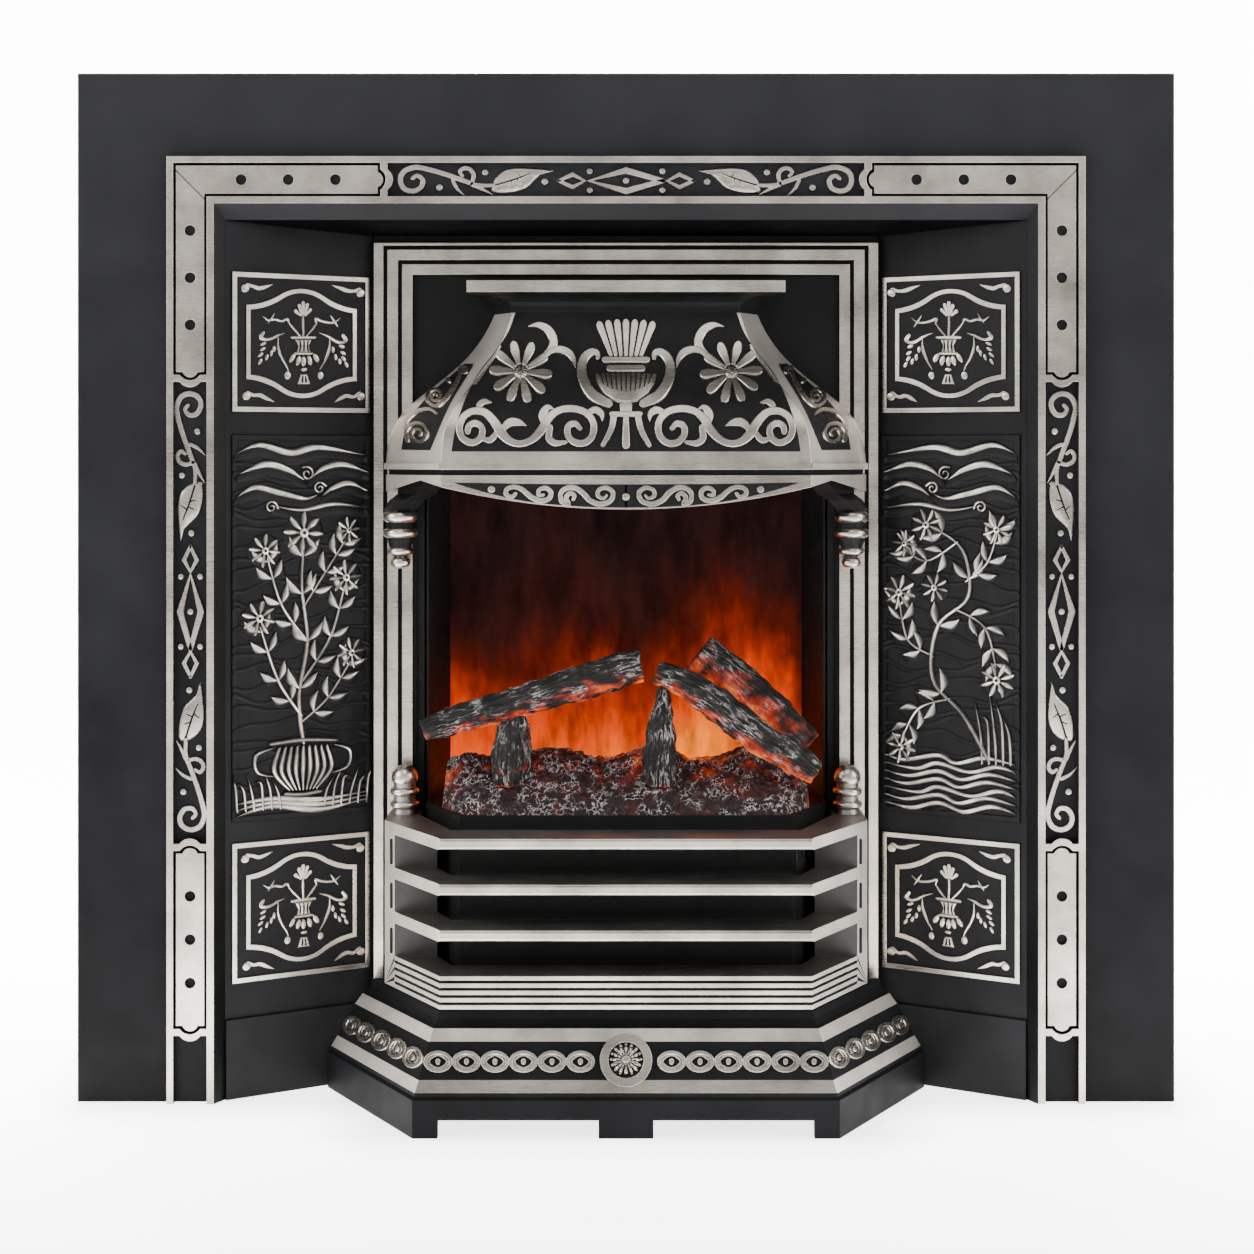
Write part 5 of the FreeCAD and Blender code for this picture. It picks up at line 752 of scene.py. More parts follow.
def make_hood_ornament():
    def on_photo(points):
        return crop(points, *HOOD_CROP)

    skin = Skin("hood")
    grounds = Relief(skin)
    edge = on_photo(FRONT_EDGE)
    grounds.patch(edge, [(MIDDLE + 1, y) for _, y in edge], GROUND_LIFT)
    grounds.patch(on_photo(SIDE_LEFT), on_photo(SIDE_RIGHT), GROUND_LIFT, across=10)
    grounds.make("hood_grounds")
    half = Relief(skin)
    for k in range(10):
        turn = math.radians(36 * k - 104)
        reach = [(FLOWER_X + r * math.cos(turn), FLOWER_Y + r * math.sin(turn), w) for r, w in PETAL]
        half.stroke(reach, 2, steps=4, base=SEAT)
    half.blob(FLOWER_X, FLOWER_Y, 9, height=2, base=SEAT)
    for points in TENDRILS + SCROLL_LEAVES:
        half.stroke(on_photo(wider(points, 1.3)), 2, base=SEAT)
    half.stroke(on_photo(wider(SCROLL_BAND, 1.22)), 2.2, base=SEAT, steps=4)
    half.stroke(on_photo(wider(HANDLE, 1.25)), 2.2, base=SEAT)
    for x, y, radius, turns in SIDE_SPIRALS:
        half.spiral(x, y, radius, turns, 150, 1, 2, 1.8)
    for points in SIDE_LEAVES:
        half.stroke(points, 1.8, base=0.2)
    half.blob(449, 381, 3, height=1.8, base=0.2)
    half.make("hood_scrolls")
    urn = Relief(skin)
    for k in range(-3, 4):
        plume = [(MIDDLE + k * 5.1, 355.5, 2.3), (MIDDLE + k * 8.7, 326 - (9 - k * k) * 0.25, 4)]
        urn.stroke(plume, 2.2, base=SEAT)
    urn.stroke([(605, 361, 3.2), (647, 361, 3.2)], 2.6, base=SEAT)
    urn.stroke([(610, 369.5, 3.6), (642, 369.5, 3.6)], 2.2, base=SEAT)
    urn.rings(on_photo(BOWL), 2.4, base=SEAT, levels=((1, -0.3), (0.95, 0.75), (0.88, 1), (0.4, 1.1)))
    for k in range(-5, 6):
        flute = [(MIDDLE + k * 5.2, 375.5, 0.9), (MIDDLE + k * 4.5, 394 - k * k * 0.28, 0.4)]
        urn.stroke(flute, 0.6, kind=DARK, base=2.7)
    urn.stroke([(MIDDLE, 403, 7), (MIDDLE, 412, 6)], 2.2, base=SEAT)
    urn.stroke([(612, 415, 2.6), (640, 415, 2.6)], 2.4, base=SEAT)
    urn.stroke([(MIDDLE, 416, 3), (MIDDLE, 445, 4.2)], 2.2, base=SEAT)
    for side in (-1, 1):
        tail = [(MIDDLE + side * x, y, w) for x, y, w in ((12, 416, 3.6), (15, 430, 3.2), (23, 445, 2.4))]
        urn.stroke(tail, 2.2, base=SEAT)
    urn.make("hood_urn", right=False)
    valance = Flat((0, -40, 0), (0, -1, 0))
    crescent = Relief(valance)
    crescent.patch(on_photo(VALANCE_TOP), on_photo(VALANCE_LOW), SEAT, across=6)
    for points in VALANCE_SCROLLS:
        crescent.stroke(on_photo(wider(points, 1.1)), 1.4, base=SEAT, steps=4)
    crescent.blob(491.5, 489.4, 3.8, height=1.6, base=SEAT)
    crescent.make("valance_scrolls")
    stop = Relief(valance)
    stop.blob(MIDDLE, 496.8, 4, height=1.6, base=SEAT)
    stop.make("valance_stop", right=False)


# Square tiles, measured on an enlarged part of the picture too
TILE_CROP = (200, 250, 7.465)
SPRIGS = (
    ((352, 262, 2.2), (392, 270, 1.8), (436, 286, 2.2), (486, 276, 1.9), (538, 258, 0.2)),
    ((356, 1068, 2.2), (400, 1084, 1.8), (446, 1084, 2.2), (494, 1108, 1.9), (550, 1134, 0.2)),
    ((1186, 296, 2.2), (1142, 308, 1.8), (1096, 304, 2.2), (1048, 286, 1.9), (984, 264, 0.2)),
    ((1186, 1072, 2.2), (1142, 1098, 1.8), (1092, 1088, 2.2), (1044, 1110, 1.9), (1004, 1136, 0.2)))
SPRIG_ENDS = ((335, 286), (346, 1090), (1196, 322), (1200, 1094))
URN_LINES = (
    ((470, 498, 0.4), (510, 524, 1.7), (560, 518, 1.9), (610, 530, 1.9), (650, 516, 2), (664, 546, 1)),
    ((552, 476, 0.4), (532, 512, 1.6), (506, 546, 0.5)),
    ((1044, 508, 0.4), (1002, 540, 1.7), (950, 540, 1.9), (900, 528, 1.9), (862, 512, 2), (868, 548, 1)),
    ((972, 490, 0.4), (1000, 530, 1.6), (1026, 572, 0.5)),
    ((768, 500, 1.5), (768, 560, 1.7), (770, 640, 1.5)),
    ((664, 546, 1), (700, 590, 1.6), (744, 640, 1.2)),
    ((868, 548, 1), (838, 592, 1.6), (796, 640, 1.2)),
    ((690, 652, 2.2), (850, 652, 2.2)),
    ((712, 772, 2), (830, 772, 2)),
    ((470, 622, 2.4), (454, 652, 2.6), (488, 668, 2.3), (536, 660, 2), (582, 636, 1.7), (628, 622, 0.4)),
    ((1070, 640, 2.4), (1090, 674, 2.6), (1054, 692, 2.3), (1008, 678, 2), (958, 646, 1.7), (890, 620, 0.4)),
    ((582, 652, 0.6), (582, 724, 1.7), (606, 800, 1.6), (644, 868, 1.3), (656, 902, 0.8)),
    ((966, 668, 0.6), (964, 742, 1.9), (934, 822, 1.7), (894, 890, 0.8)))
URN_LEAVES = (
    (470, 700, -25), (466, 740, -30), (450, 782, -38), (448, 832, 118), (497, 800, 105), (530, 770, 95),
    (550, 738, 90), (1056, 720, 25), (1066, 770, 35), (1070, 812, 50), (1090, 856, 60), (1040, 832, 72),
    (1010, 800, 80), (990, 744, 85))
URN_BLOBS = ((652, 936, 3.4, 4.4), (898, 936, 3, 4.2), (774, 893, 3.4, 1.9))
URN_PETALS = ((-68, -32), (-36, -72), (0, -92), (38, -78), (64, -40))
URN_BODY = ((706, 664), (836, 664), (812, 716), (824, 764), (718, 764), (730, 716))
URN_FOOT = ((748, 925), (797, 925), (824, 1004), (724, 1004))
LOWER_TILE_DROP = -532
URN_LOBES = ((686, 806, 30), (731, 826, 14), (769, 832, 0), (815, 826, -14), (862, 806, -30))


def make_square_tiles():
    def on_photo(points):
        return crop(points, *TILE_CROP)

    def spot(x, y):
        return on_photo([(x, y)])[0]

    field = Flat(SPLAY_FOOT + SPLAY_OUT * 0.5, SPLAY_OUT)
    for name, drop in (("upper_tile_relief", 0), ("lower_tile_relief", LOWER_TILE_DROP)):
        relief = Relief(field, (0, 0, drop))
        for points in SPRIGS + URN_LINES:
            relief.stroke(on_photo(points), 1.5, soft=points not in SPRIGS, steps=4)
        for x, y in SPRIG_ENDS:
            relief.blob(*spot(x, y), 4.4, height=1.7)
        for x, y in URN_PETALS:
            petal = [(766 + x * 0.3, 494 + y * 0.12, 0.9), (766 + x * 0.8, 490 + y, 2.1)]
            relief.stroke(on_photo(petal), 1.8)
        for x, y, turn in URN_LEAVES:
            relief.blob(*spot(x, y), 3.6, 1.7, turn, 1.5)
        for x, y, turn in URN_LOBES:
            relief.blob(*spot(x, y), 2.6, 5.4, turn, 2)
        relief.rings(on_photo(URN_BODY), 1.8)
        for x in (-26, 0, 26):
            flute = [(771 + x * 1.2, 676, 0.5), (771 + x, 720, 0.7), (771 + x * 1.2, 756, 0.5)]
            relief.stroke(on_photo(flute), 0.4, kind=DARK, base=2)
        for x, y, across, up in URN_BLOBS:
            relief.blob(*spot(x, y), across, up)
        relief.rings(on_photo(URN_FOOT), 1.6)
        for x in (-10, 10):
            groove = [(773 + x, 945, 0.6), (773 + x * 1.4, 985, 0.9)]
            relief.stroke(on_photo(groove), 0.4, kind=DARK, base=1.7)
        relief.make(name)


# Tall panels: a flowering plant in an urn on the left, a vine over water on the right, under curling clouds
TILE_LEFT, TILE_RIGHT, TILE_LOW, TILE_HIGH = 6.3, 143.3, 257, 617
CLOUDS = (
    ((0.04, 0.955, 1), (0.2, 0.975, 4), (0.42, 0.955, 5), (0.62, 0.97, 4.5), (0.95, 0.95, 1)),
    ((0.05, 0.9, 1), (0.24, 0.925, 5), (0.4, 0.91, 4), (0.5, 0.885, 1)),
    ((0.97, 0.905, 1), (0.8, 0.925, 4.5), (0.66, 0.915, 4), (0.56, 0.89, 1)),
    ((0.03, 0.84, 1), (0.16, 0.865, 4), (0.34, 0.85, 4.5), (0.52, 0.835, 3), (0.6, 0.845, 1)),
    ((0.97, 0.855, 1), (0.84, 0.875, 4), (0.72, 0.862, 3.5), (0.64, 0.842, 1)),
    ((0.3, 0.815, 1), (0.5, 0.805, 3), (0.72, 0.82, 3.5), (0.95, 0.81, 1)))
CLOUD_CURLS = ((0.53, 0.9, 7, 120, -1), (0.62, 0.862, 6, 30, 1), (0.27, 0.813, 6, 0, 1))
PLANT_STEMS = (
    ((0.5, 0.2, 3.4), (0.47, 0.32, 3.2), (0.53, 0.46, 3), (0.49, 0.6, 2.6), (0.5, 0.7, 2.2)),
    ((0.48, 0.27, 2.4), (0.32, 0.36, 2.4), (0.19, 0.5, 1.8)),
    ((0.5, 0.36, 2.4), (0.7, 0.47, 2.4), (0.8, 0.6, 1.8)),
    ((0.51, 0.47, 2.2), (0.34, 0.56, 2.2), (0.24, 0.68, 1.6)),
    ((0.49, 0.25, 2.2), (0.68, 0.31, 2.2), (0.84, 0.4, 1.6)),
    ((0.5, 0.55, 2), (0.66, 0.64, 2), (0.8, 0.72, 1.4)))
PLANT_HEADS = (
    (0.5, 0.745, 19), (0.18, 0.525, 16), (0.81, 0.625, 16), (0.22, 0.7, 15), (0.85, 0.425, 14),
    (0.83, 0.75, 12))
VINE_STEMS = (
    ((0.22, 0.16, 3.6), (0.4, 0.27, 3.4), (0.62, 0.36, 3.2), (0.58, 0.5, 3), (0.36, 0.58, 2.8),
     (0.4, 0.7, 2.4), (0.62, 0.76, 2)),
    ((0.5, 0.31, 2.2), (0.72, 0.28, 2.2), (0.84, 0.2, 1.6)),
    ((0.62, 0.42, 2.2), (0.8, 0.46, 2.2), (0.86, 0.56, 1.6)),
    ((0.45, 0.545, 2.2), (0.24, 0.5, 2.2), (0.16, 0.4, 1.6)),
    ((0.37, 0.62, 2), (0.22, 0.67, 2), (0.14, 0.76, 1.4)),
    ((0.44, 0.72, 2), (0.66, 0.67, 2), (0.82, 0.7, 1.4)))
VINE_HEADS = (
    (0.66, 0.765, 15), (0.85, 0.175, 15), (0.86, 0.585, 16), (0.15, 0.365, 16), (0.15, 0.755, 14),
    (0.82, 0.715, 12), (0.6, 0.6, 13))


def panel_place(a, b, *rest):
    return (TILE_LEFT + (TILE_RIGHT - TILE_LEFT) * a, TILE_LOW + (TILE_HIGH - TILE_LOW) * b, *rest)


def panel_line(relief, points, height=3):
    relief.stroke([panel_place(*point) for point in points], height, soft=True, steps=6)


def leafy(relief, points, size):
    """Leaves in pairs along a stem."""
    run = through([panel_place(*point) for point in points], 8)
    for share in (0.28, 0.5, 0.72, 0.92):
        k = min(int(len(run) * share), len(run) - 2)
        x, y = run[k][:2]
        lean = math.atan2(run[k + 1][1] - y, run[k + 1][0] - x)
        for side in (-1, 1):
            turn = lean + side * 0.9
            tip = lean + side * 0.5
            bend = (x + size * math.cos(turn), y + size * math.sin(turn))
            end = (bend[0] + size * math.cos(tip), bend[1] + size * math.sin(tip))
            shade = (x + end[0]) / 2 + size * 0.2, (y + end[1]) / 2 - size * 0.3
            relief.stroke([(x, y, 1.5), (*shade, size * 0.7), (*end, 1)], 1.5, soft=True, kind=DARK, steps=6)
            relief.stroke([(x, y, 0.8), (*bend, size * 0.5), (*end, 0.3)], 3, soft=True, steps=6)


def flower(relief, a, b, size):
    x, y = panel_place(a, b)
    relief.blob(x, y, size * 1.12, height=1.6, kind=DARK)
    for k in range(8):
        turn = math.tau * k / 8 + a * 3
        across, up = math.cos(turn), math.sin(turn)
        relief.stroke([(x + size * r * across, y + size * r * up, size * w)
                       for r, w in ((0.26, 0.1), (0.6, 0.24), (0.86, 0.2))], 3.6, soft=True, steps=5)
    relief.blob(x, y, size * 0.27, height=4.4)
    relief.blob(x, y, size * 0.1, height=1, kind=DARK, base=4.6)


def make_urn_foot(relief):
    for k in range(-4, 5):
        panel_line(relief, ((0.5 + k * 0.026, 0.075, 2), (0.5 + k * 0.052, 0.125, 3.6),
                            (0.5 + k * 0.044, 0.18, 2.8)), 3.6)
    panel_line(relief, ((0.27, 0.197, 3), (0.5, 0.203, 3.4), (0.73, 0.197, 3)), 4.4)
    panel_line(relief, ((0.38, 0.064, 2.6), (0.5, 0.06, 3), (0.62, 0.064, 2.6)), 4)
    for side in (-1, 1):
        panel_line(relief, ((0.5 + side * 0.23, 0.185, 1.6), (0.5 + side * 0.34, 0.168, 2.6),
                            (0.5 + side * 0.33, 0.126, 2.4), (0.5 + side * 0.22, 0.112, 1.4)), 3.6)
        for k in range(6):
            foot = 0.5 + side * (0.16 + 0.062 * k)
            panel_line(relief, ((foot, 0.03, 2.2), (foot + side * 0.015, 0.065 + 0.014 * (k % 3), 2),
                                (foot + side * 0.06, 0.1 + 0.022 * (k % 2), 0.3)))
    for k in range(3):
        panel_line(relief, ((0.03, 0.014 + 0.016 * k, 1), (0.28, 0.034 + 0.01 * k, 4),
                            (0.62, 0.016 + 0.013 * k, 4), (0.97, 0.034 + 0.01 * k, 1)), 2.6)


def make_water(relief):
    for k in range(7):
        low = 0.022 + 0.021 * k
        sway = 0.05 * math.sin(k * 2.3)
        panel_line(relief, ((0.03, low, 1), (0.2 + sway, low + 0.013, 3.4), (0.4 + sway, low - 0.006, 3),
                            (0.58, low + 0.012, 3.4), (0.78 + sway, low - 0.006, 3),
                            (0.97, low + 0.004, 1)), 2.6)
    for k in range(5):
        foot = 0.06 + 0.05 * k
        panel_line(relief, ((foot, 0.15, 2.2), (foot + 0.01, 0.22 + 0.03 * (k % 2), 2.2),
                            (foot + 0.05, 0.27 + 0.04 * (k % 3), 0.3)))


def ripple(relief):
    """Low dark waves across the whole ground."""
    for k in range(26):
        low = 0.03 + 0.036 * k
        points = [(a, low + 0.012 * math.sin(7 * a + 1.9 * k) + 0.006 * math.sin(17 * a + k), 2.4)
                  for a in (0.01 + 0.07 * step for step in range(15))]
        relief.stroke([panel_place(*point) for point in points], 1.1, soft=True, kind=DARK, steps=3)


def make_tall_panels():
    face = Panel("tall_tile_left", TILE_LEFT + 0.5, TILE_RIGHT - 0.5, TILE_LOW + 0.5, TILE_HIGH - 0.5)
    for side, stems, heads, make_foot in (("left", PLANT_STEMS, PLANT_HEADS, make_urn_foot),
                                          ("right", VINE_STEMS, VINE_HEADS, make_water)):
        relief = Relief(face)
        ripple(relief)
        for points in CLOUDS:
            shadow = [panel_place(a, b - 0.012, half + 3.5) for a, b, half in points]
            relief.stroke(shadow, 1.6, soft=True, kind=DARK, steps=6)
            panel_line(relief, points, 3)
        for a, b, radius, start, way in CLOUD_CURLS:
            relief.spiral(*panel_place(a, b), radius, 1.3, start, way, 2.2, 3, soft=True)
        make_foot(relief)
        for k, points in enumerate(stems):
            leafy(relief, points, 10.5 if k else 12)
            panel_line(relief, points, 3.4)
        for head in heads:
            flower(relief, *head)
        relief.make("tall_panel_relief_" + side, left=side == "left", right=side == "right",
                    metal=relief_metal, crisp=38)


# Links of the chain on the ash cover's cant: place, half sizes and lean
CANT_LINKS = (
    (413.4, 1057.4, 8.2, 9.2, 18), (397.4, 1048.6, 7.8, 8.9, 22), (381.6, 1040.6, 7.6, 8.7, 22),
    (365.8, 1032.4, 7.4, 8.5, 22), (352.4, 1025.2, 6.6, 8.2, 22))
LINK_SIDES, LINK_PITCH = 18, 28.5
POST_X, SLOT_TOPS, SLOT_HEIGHT = 391.4, (840, 884, 929), 23
ROSETTE_Y = 1059.3


def make_cover_ornament():
    chain = Relief(Skin("ash_cover"))
    front_links = [(438 + LINK_PITCH * k, 1061.7, 12.6, 9.2, 0) for k in range(6)]
    for x, y, across, up, turn in (*front_links, *CANT_LINKS):
        ring = [(*spot, 2.1) for spot in ellipse(x, y, across, up, turn, LINK_SIDES)]
        chain.stroke(ring, 1.6, closed=True, steps=1)
        lens = []
        for k in range(LINK_SIDES):
            a, b = math.cos(math.tau * k / LINK_SIDES), math.sin(math.tau * k / LINK_SIDES)
            lens.append((x + (across - 3.4) * (0.4 * a ** 3 + 0.6 * a), y + (up - 2.6) * b, 1.1))
        chain.stroke(lens, 1.1, closed=True, steps=1)
        chain.blob(x, y, 2.7, 3.7, 0, 1.7)
    chain.make("ash_cover_chain", "ash_front")
    # Dark strips stand in for the slots in the posts: the black inside, and its shade painted on
    slots = Relief(Skin("fire_bars"))
    for top in SLOT_TOPS:
        slots.stroke([(POST_X, top, 1.4), (POST_X, top + SLOT_HEIGHT, 1.4)], 0.3, kind=DARK, steps=1)
    slots.make("post_slots", "fire_front")
    petals = Relief(Skin("rosette"))
    for k in range(16):
        turn = math.tau * k / 16
        petals.stroke([(MIDDLE + r * math.cos(turn), ROSETTE_Y + r * math.sin(turn), w)
                       for r, w in ((5, 0.9), (10, 1.9), (14.2, 2.2))], 1.2, soft=True, steps=3)
    petals.blob(MIDDLE, ROSETTE_Y, 4.3, height=2)
    petals.make("rosette_flower", "ash_front", right=False)


# Logs: sides of a ring, depth of bark, splits and broken ends in metres, width of a split in its noise,
# and how far the grain of the bark runs on along the log
SIDES = 40
BARK, SPLIT, BREAK = 0.0022, 0.0026, 0.0022
SPLIT_WIDTH, GRAIN_RUN = 0.22, 0.16
# Ember bed in millimetres: width, front edge and how far it draws back at the ends, back edge, foot, toe of
# the ends, and height of lumps and crumbs
BED_WIDTH, BED_FRONT, BED_BEND, BED_BACK, BED_FOOT, BED_TOE = 344, -25.4, 44, 66, 269, 268.2
LUMPS, CRUMBS = 5.5, 2.4
BED_COLUMNS, BED_ROWS = 190, 64


def finish_piece(name, places, faces, finish, node):
    piece = put(name, smooth_mesh(name, places, faces, finish))
    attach(piece, "insert")
    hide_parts(node)
    return piece


def make_log(name, node, rings, finish, seed):
    """A burnt log along places and radii, with rough bark and broken ends."""
    run = through(rings, 9)
    places, faces, bark_places = [], [], []
    shift = Vector((seed * 3.1, seed * 1.7, seed * 0.9))
    passed = 0
    for i, (x, y, z, radius) in enumerate(run):
        before, after = Vector(run[max(i - 1, 0)][:3]), Vector(run[min(i + 1, len(run) - 1)][:3])
        passed += (Vector((x, y, z)) - before).length * MM
        along = (after - before).normalized()
        across = along.cross(Vector((0, 1, 0))).normalized()
        back = along.cross(across)
        for k in range(SIDES):
            turn = math.tau * k / SIDES
            out = across * math.cos(turn) + back * math.sin(turn)
            spot = Vector((x, y, z)) * MM + out * radius * MM
            bark = noise.fractal(spot * 60 + shift, 0.8, 2.1, 5)
            split = abs(noise.noise(Vector((turn * 2.6, i * 0.09, 0)) + shift))
            spot += out * (BARK * bark - SPLIT * max(0, SPLIT_WIDTH - split) / SPLIT_WIDTH)
            if i in (0, len(run) - 1):
                spot += along * BREAK * noise.noise(spot * 160 + shift)
            places.append(spot)
            bark_places.append(Vector((math.cos(turn), math.sin(turn), 0)) * radius * MM
                               + Vector((0, 0, passed * GRAIN_RUN)) + shift)
    for i in range(len(run) - 1):
        for k in range(SIDES):
            nxt = (k + 1) % SIDES
            faces.append((i * SIDES + k, i * SIDES + nxt, (i + 1) * SIDES + nxt, (i + 1) * SIDES + k))
    for first, flip in ((0, True), ((len(run) - 1) * SIDES, False)):
        places.append(sum((places[first + k] for k in range(SIDES)), Vector()) / SIDES)
        bark_places.append(shift)
        hub = len(places) - 1
        for k in range(SIDES):
            pair = (first + k, first + (k + 1) % SIDES)
            faces.append((hub, *(pair[::-1] if flip else pair)))
    piece = finish_piece(name, places, faces, finish, node)
    values = [number for place in bark_places for number in place]
    piece.data.attributes.new("bark", "FLOAT_VECTOR", "POINT").data.foreach_set("vector", values)


def make_embers_bed():
    """A bank of lumps from the apron's edge up to the back."""
    places, faces = [], []
    for j in range(BED_ROWS + 1):
        for i in range(BED_COLUMNS + 1):
            a, b = i / BED_COLUMNS - 0.5, j / BED_ROWS
            end = max(0, abs(a) - 0.4) / 0.1
            front = BED_FRONT + BED_BEND * end ** 1.5
            x, y = BED_WIDTH * a, front + (BED_BACK - front) * b
            crest = 50 + 5 * math.sin(a * 23) - 12 * end
            z = BED_FOOT + 9 * min(1, b * 14) + (crest - 14) * min(1, b * 1.25) ** 0.85
            spot = Vector((x, y, z))
            cells = noise.voronoi(spot * 0.085)[0]
            lump = LUMPS * (0.55 - cells[0]) + CRUMBS * noise.fractal(spot * 0.13, 0.7, 2, 4)
            edge = min(1, b * 9) * min(1, (1 - abs(2 * a)) * 26)
            spot += Vector((0.5 * lump, -0.5 * lump, lump)) * edge
            if end > 0.9 and edge == 0:
                spot.z = BED_TOE
            places.append(spot * MM)
    for j in range(BED_ROWS):
        for i in range(BED_COLUMNS):
            k = j * (BED_COLUMNS + 1) + i
            faces.append((k, k + 1, k + BED_COLUMNS + 2, k + BED_COLUMNS + 1))
    finish_piece("ember_bank", places, faces, embers, "ember_bed")


# Each log: its piece, the node that it replaces, finish, and rings of place and radius
LOGS = (
    ("left_log", "log_left", char, (
        (-189, 13, 342, 11), (-150, 14, 354, 13.5), (-113, 17, 364, 15), (-70, 18, 377, 16),
        (-36, 20, 387, 17), (-6, 21, 397, 16.5), (14, 22, 401, 15))),
    ("right_log", "log_right", char, (
        (29, 13, 396, 11), (54, 10, 386, 13), (80, 7, 370, 15), (106, 3, 350, 15.5), (132, 1, 332, 15.5),
        (156, -1, 317, 14.5), (176, -2, 305, 12))),
    ("rear_log", "log_rear", rear_lit_char, (
        (69, 64, 409, 20), (90, 63, 392, 21.5), (112, 62, 374, 22), (134, 61, 355, 21.5), (155, 59, 335, 20),
        (170, 57, 320, 18))),
    ("left_stub", "log_stub_left", char, (
        (-107, 15, 292, 19), (-107, 15, 310, 19), (-106, 16, 328, 18), (-105, 17, 345, 15),
        (-105, 17, 356, 12))),
    ("right_stub", "log_stub_right", char, (
        (31, 8, 292, 16), (31, 8, 315, 15), (32, 9, 335, 14), (33, 10, 355, 11), (35, 12, 374, 7),
        (36, 12.6, 386, 5))))


def make_fire():
    make_embers_bed()
    for k, (name, node, finish, rings) in enumerate(LOGS):
        make_log(name, node, rings, finish, k + 1)


# Studio. Brightness of the room by height of the way there, brightest a little above the eye
SKY = (
    (-0.35, 0.05), (-0.17, 0.25), (-0.05, 0.62), (0.02, 0.75), (0.09, 1), (0.13, 1.7), (0.2, 1.7),
    (0.35, 0.8), (1, 0.5))
# Name, place, size and power of the lamps, which point at the part's middle
LAMPS = (("key", (-2.2, -1.5, 1.7), 1.3, 26), ("fill", (2.3, -1.5, 1.5), 1.3, 18),
         ("top", (0, -1.5, 3.0), 1.8, 20), ("left_card", (-2.3, -0.3, 1.5), 1.8, 75),
         ("right_card", (2.3, -0.3, 1.5), 1.8, 62))
TARGET = Vector((0, 0, 0.45))
# The part's foot on the paper: half widths of plate and cover, back, cover's front, and width of the shade
PLATE_SIDE, COVER_SIDE, PART_BACK, COVER_FRONT, SHADE = 0.5, 0.22, 0.25, -0.1, 0.07
PAPER_FRONT, PAPER_SIDE, PAPER_TOP, BEND_START, BEND = -4, 9, 7, 1.2, 1.5
# The paper's light: where it starts in front of the part, and how it grows to the back
LIT_START, LIT_RUN, LIT_POWER = (-0.6, -0.34), (-0.3, 0.5), (5, 10)
# A painted shade on the paper behind the part keeps the part's back from being washed out: its edges, and how
# dark it is
PATCH_SIDE, PATCH_TOP, PATCH_START, PATCH_PAINTED_SHADE = (0.4, 0.5), (1.15, 1.4), (0.05, 0.4), 0.85


def make_paper():
    """White paper, lit under and behind the part, shaded where plate and cover stand on it."""
    made = Finish("paper")
    tone = made.ramp(made.noise(3), [(0.3, (0.86, 0.86, 0.86)), (0.7, (0.88, 0.88, 0.88))])
    across, deep = made.math("ABSOLUTE", made.axis("X")), made.axis("Y")
    behind = made.past(deep, PART_BACK)
    from_plate = made.less(made.plus(made.past(across, PLATE_SIDE), behind), made.math("MINIMUM", deep))
    from_cover = made.plus(made.plus(made.past(across, COVER_SIDE), behind), made.past(COVER_FRONT, deep))
    lit = made.times(made.span(deep, *LIT_START, 0, 1), made.span(deep, *LIT_RUN, *LIT_POWER))
    for away in (from_plate, from_cover):
        lit = made.times(lit, made.span(away, 0, SHADE, 0.5, 1))
    aside = made.less(across, made.times(deep, 0.2))
    patch = made.math("MINIMUM", made.span(aside, *PATCH_SIDE, 1, 0),
                      made.span(made.axis("Z"), *PATCH_TOP, 1, 0))
    patch = made.times(patch, made.span(deep, *PATCH_START, 0, 1))
    # Painted shade behind the part: the paper's light drops there
    lit = made.times(lit, made.less(1, made.times(patch, PATCH_PAINTED_SHADE)))
    made.set(Base_Color=tone, Roughness=0.9, Specular_IOR_Level=0.1, Emission_Color=(1, 1, 1, 1),
             Emission_Strength=lit)
    return made.material


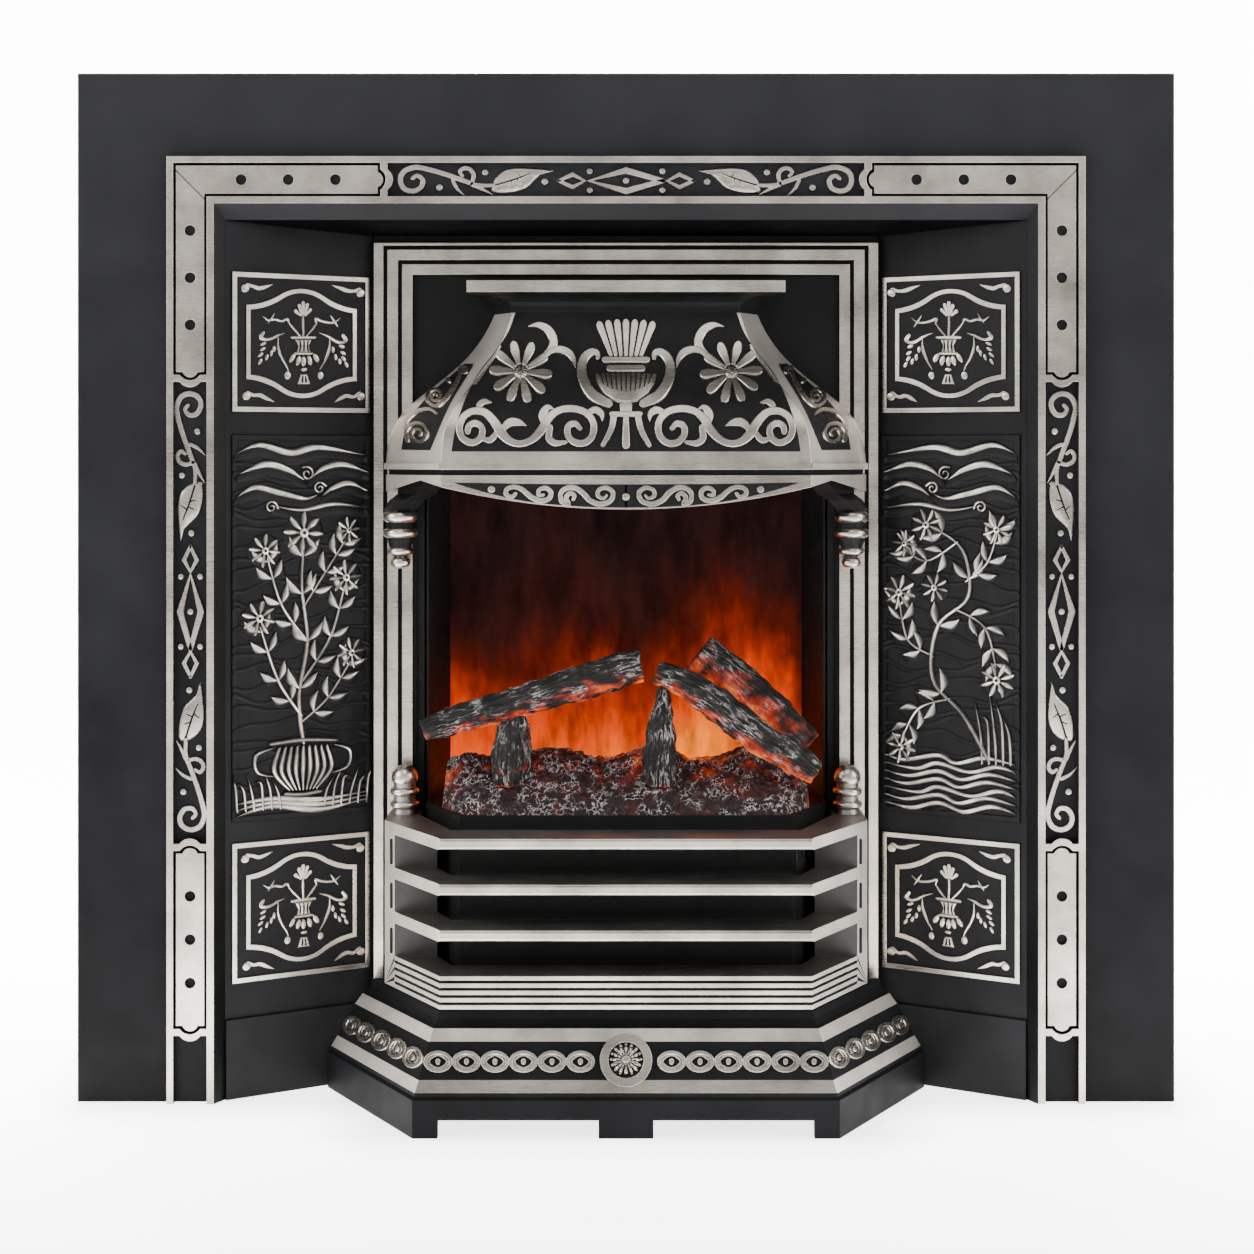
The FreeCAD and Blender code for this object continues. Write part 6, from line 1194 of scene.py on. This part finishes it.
def make_floor():
    profile = [(PAPER_FRONT, 0), (0.2, 0), (BEND_START, 0)]
    for k in range(1, 13):
        turn = k * math.pi / 24
        profile.append((BEND_START + BEND * math.sin(turn), BEND - BEND * math.cos(turn)))
    profile.append((BEND_START + BEND, PAPER_TOP))
    places = [(side, y, z) for y, z in profile for side in (-PAPER_SIDE, PAPER_SIDE)]
    faces = [(2 * k, 2 * k + 1, 2 * k + 3, 2 * k + 2) for k in range(len(profile) - 1)]
    piece = put("floor", smooth_mesh("floor", places, faces, make_paper()))


def make_world():
    world = bpy.data.worlds.new("studio")
    world.use_nodes = True
    shade, links = world.node_tree.nodes, world.node_tree.links
    way = shade.new("ShaderNodeTexCoord")
    parts = shade.new("ShaderNodeSeparateXYZ")
    sky = shade.new("ShaderNodeValToRGB")
    for k, (height, light) in enumerate(SKY):
        stop = sky.color_ramp.elements[k] if k < 2 else sky.color_ramp.elements.new(1)
        stop.position = (height + 1) / 2
        stop.color = (light, light, light, 1)
    up = shade.new("ShaderNodeMapRange")
    up.inputs["From Min"].default_value = -1
    links.new(way.outputs["Generated"], parts.inputs["Vector"])
    links.new(parts.outputs["Z"], up.inputs["Value"])
    links.new(up.outputs["Result"], sky.inputs["Fac"])
    links.new(sky.outputs["Color"], shade["Background"].inputs["Color"])
    bpy.context.scene.world = world


def make_lamp(name, place, turn, size, power, colour=(1, 1, 1)):
    lamp = bpy.data.lights.new(name, "AREA")
    lamp.size, lamp.energy, lamp.color = size, power, colour
    thing = put(name, lamp)
    thing.location, thing.rotation_euler = place, turn


def make_stage():
    make_floor()
    make_world()
    for name, place, size, power in LAMPS:
        turn = (TARGET - Vector(place)).to_track_quat("-Z", "Y").to_euler()
        make_lamp(name, place, turn, size, power)
    make_lamp("fire_glow", (0, 0.12, 0.34), (math.radians(-115), 0, 0), 0.22, 0.22, (1, 0.25, 0.04))


def make_camera():
    lens = bpy.data.cameras.new("camera")
    lens.sensor_width = 36
    lens.lens = 36 * FOCAL / PICTURE
    lens.shift_x = (PICTURE / 2 - MIDDLE) / PICTURE
    lens.shift_y = (HORIZON - PICTURE / 2) / PICTURE
    camera = put("camera", lens)
    camera.location = EYE
    camera.rotation_euler = (math.pi / 2, 0, 0)
    bpy.context.scene.camera = camera


make_border()
make_hood_ornament()
make_square_tiles()
make_tall_panels()
make_cover_ornament()
make_fire()
make_stage()
make_camera()
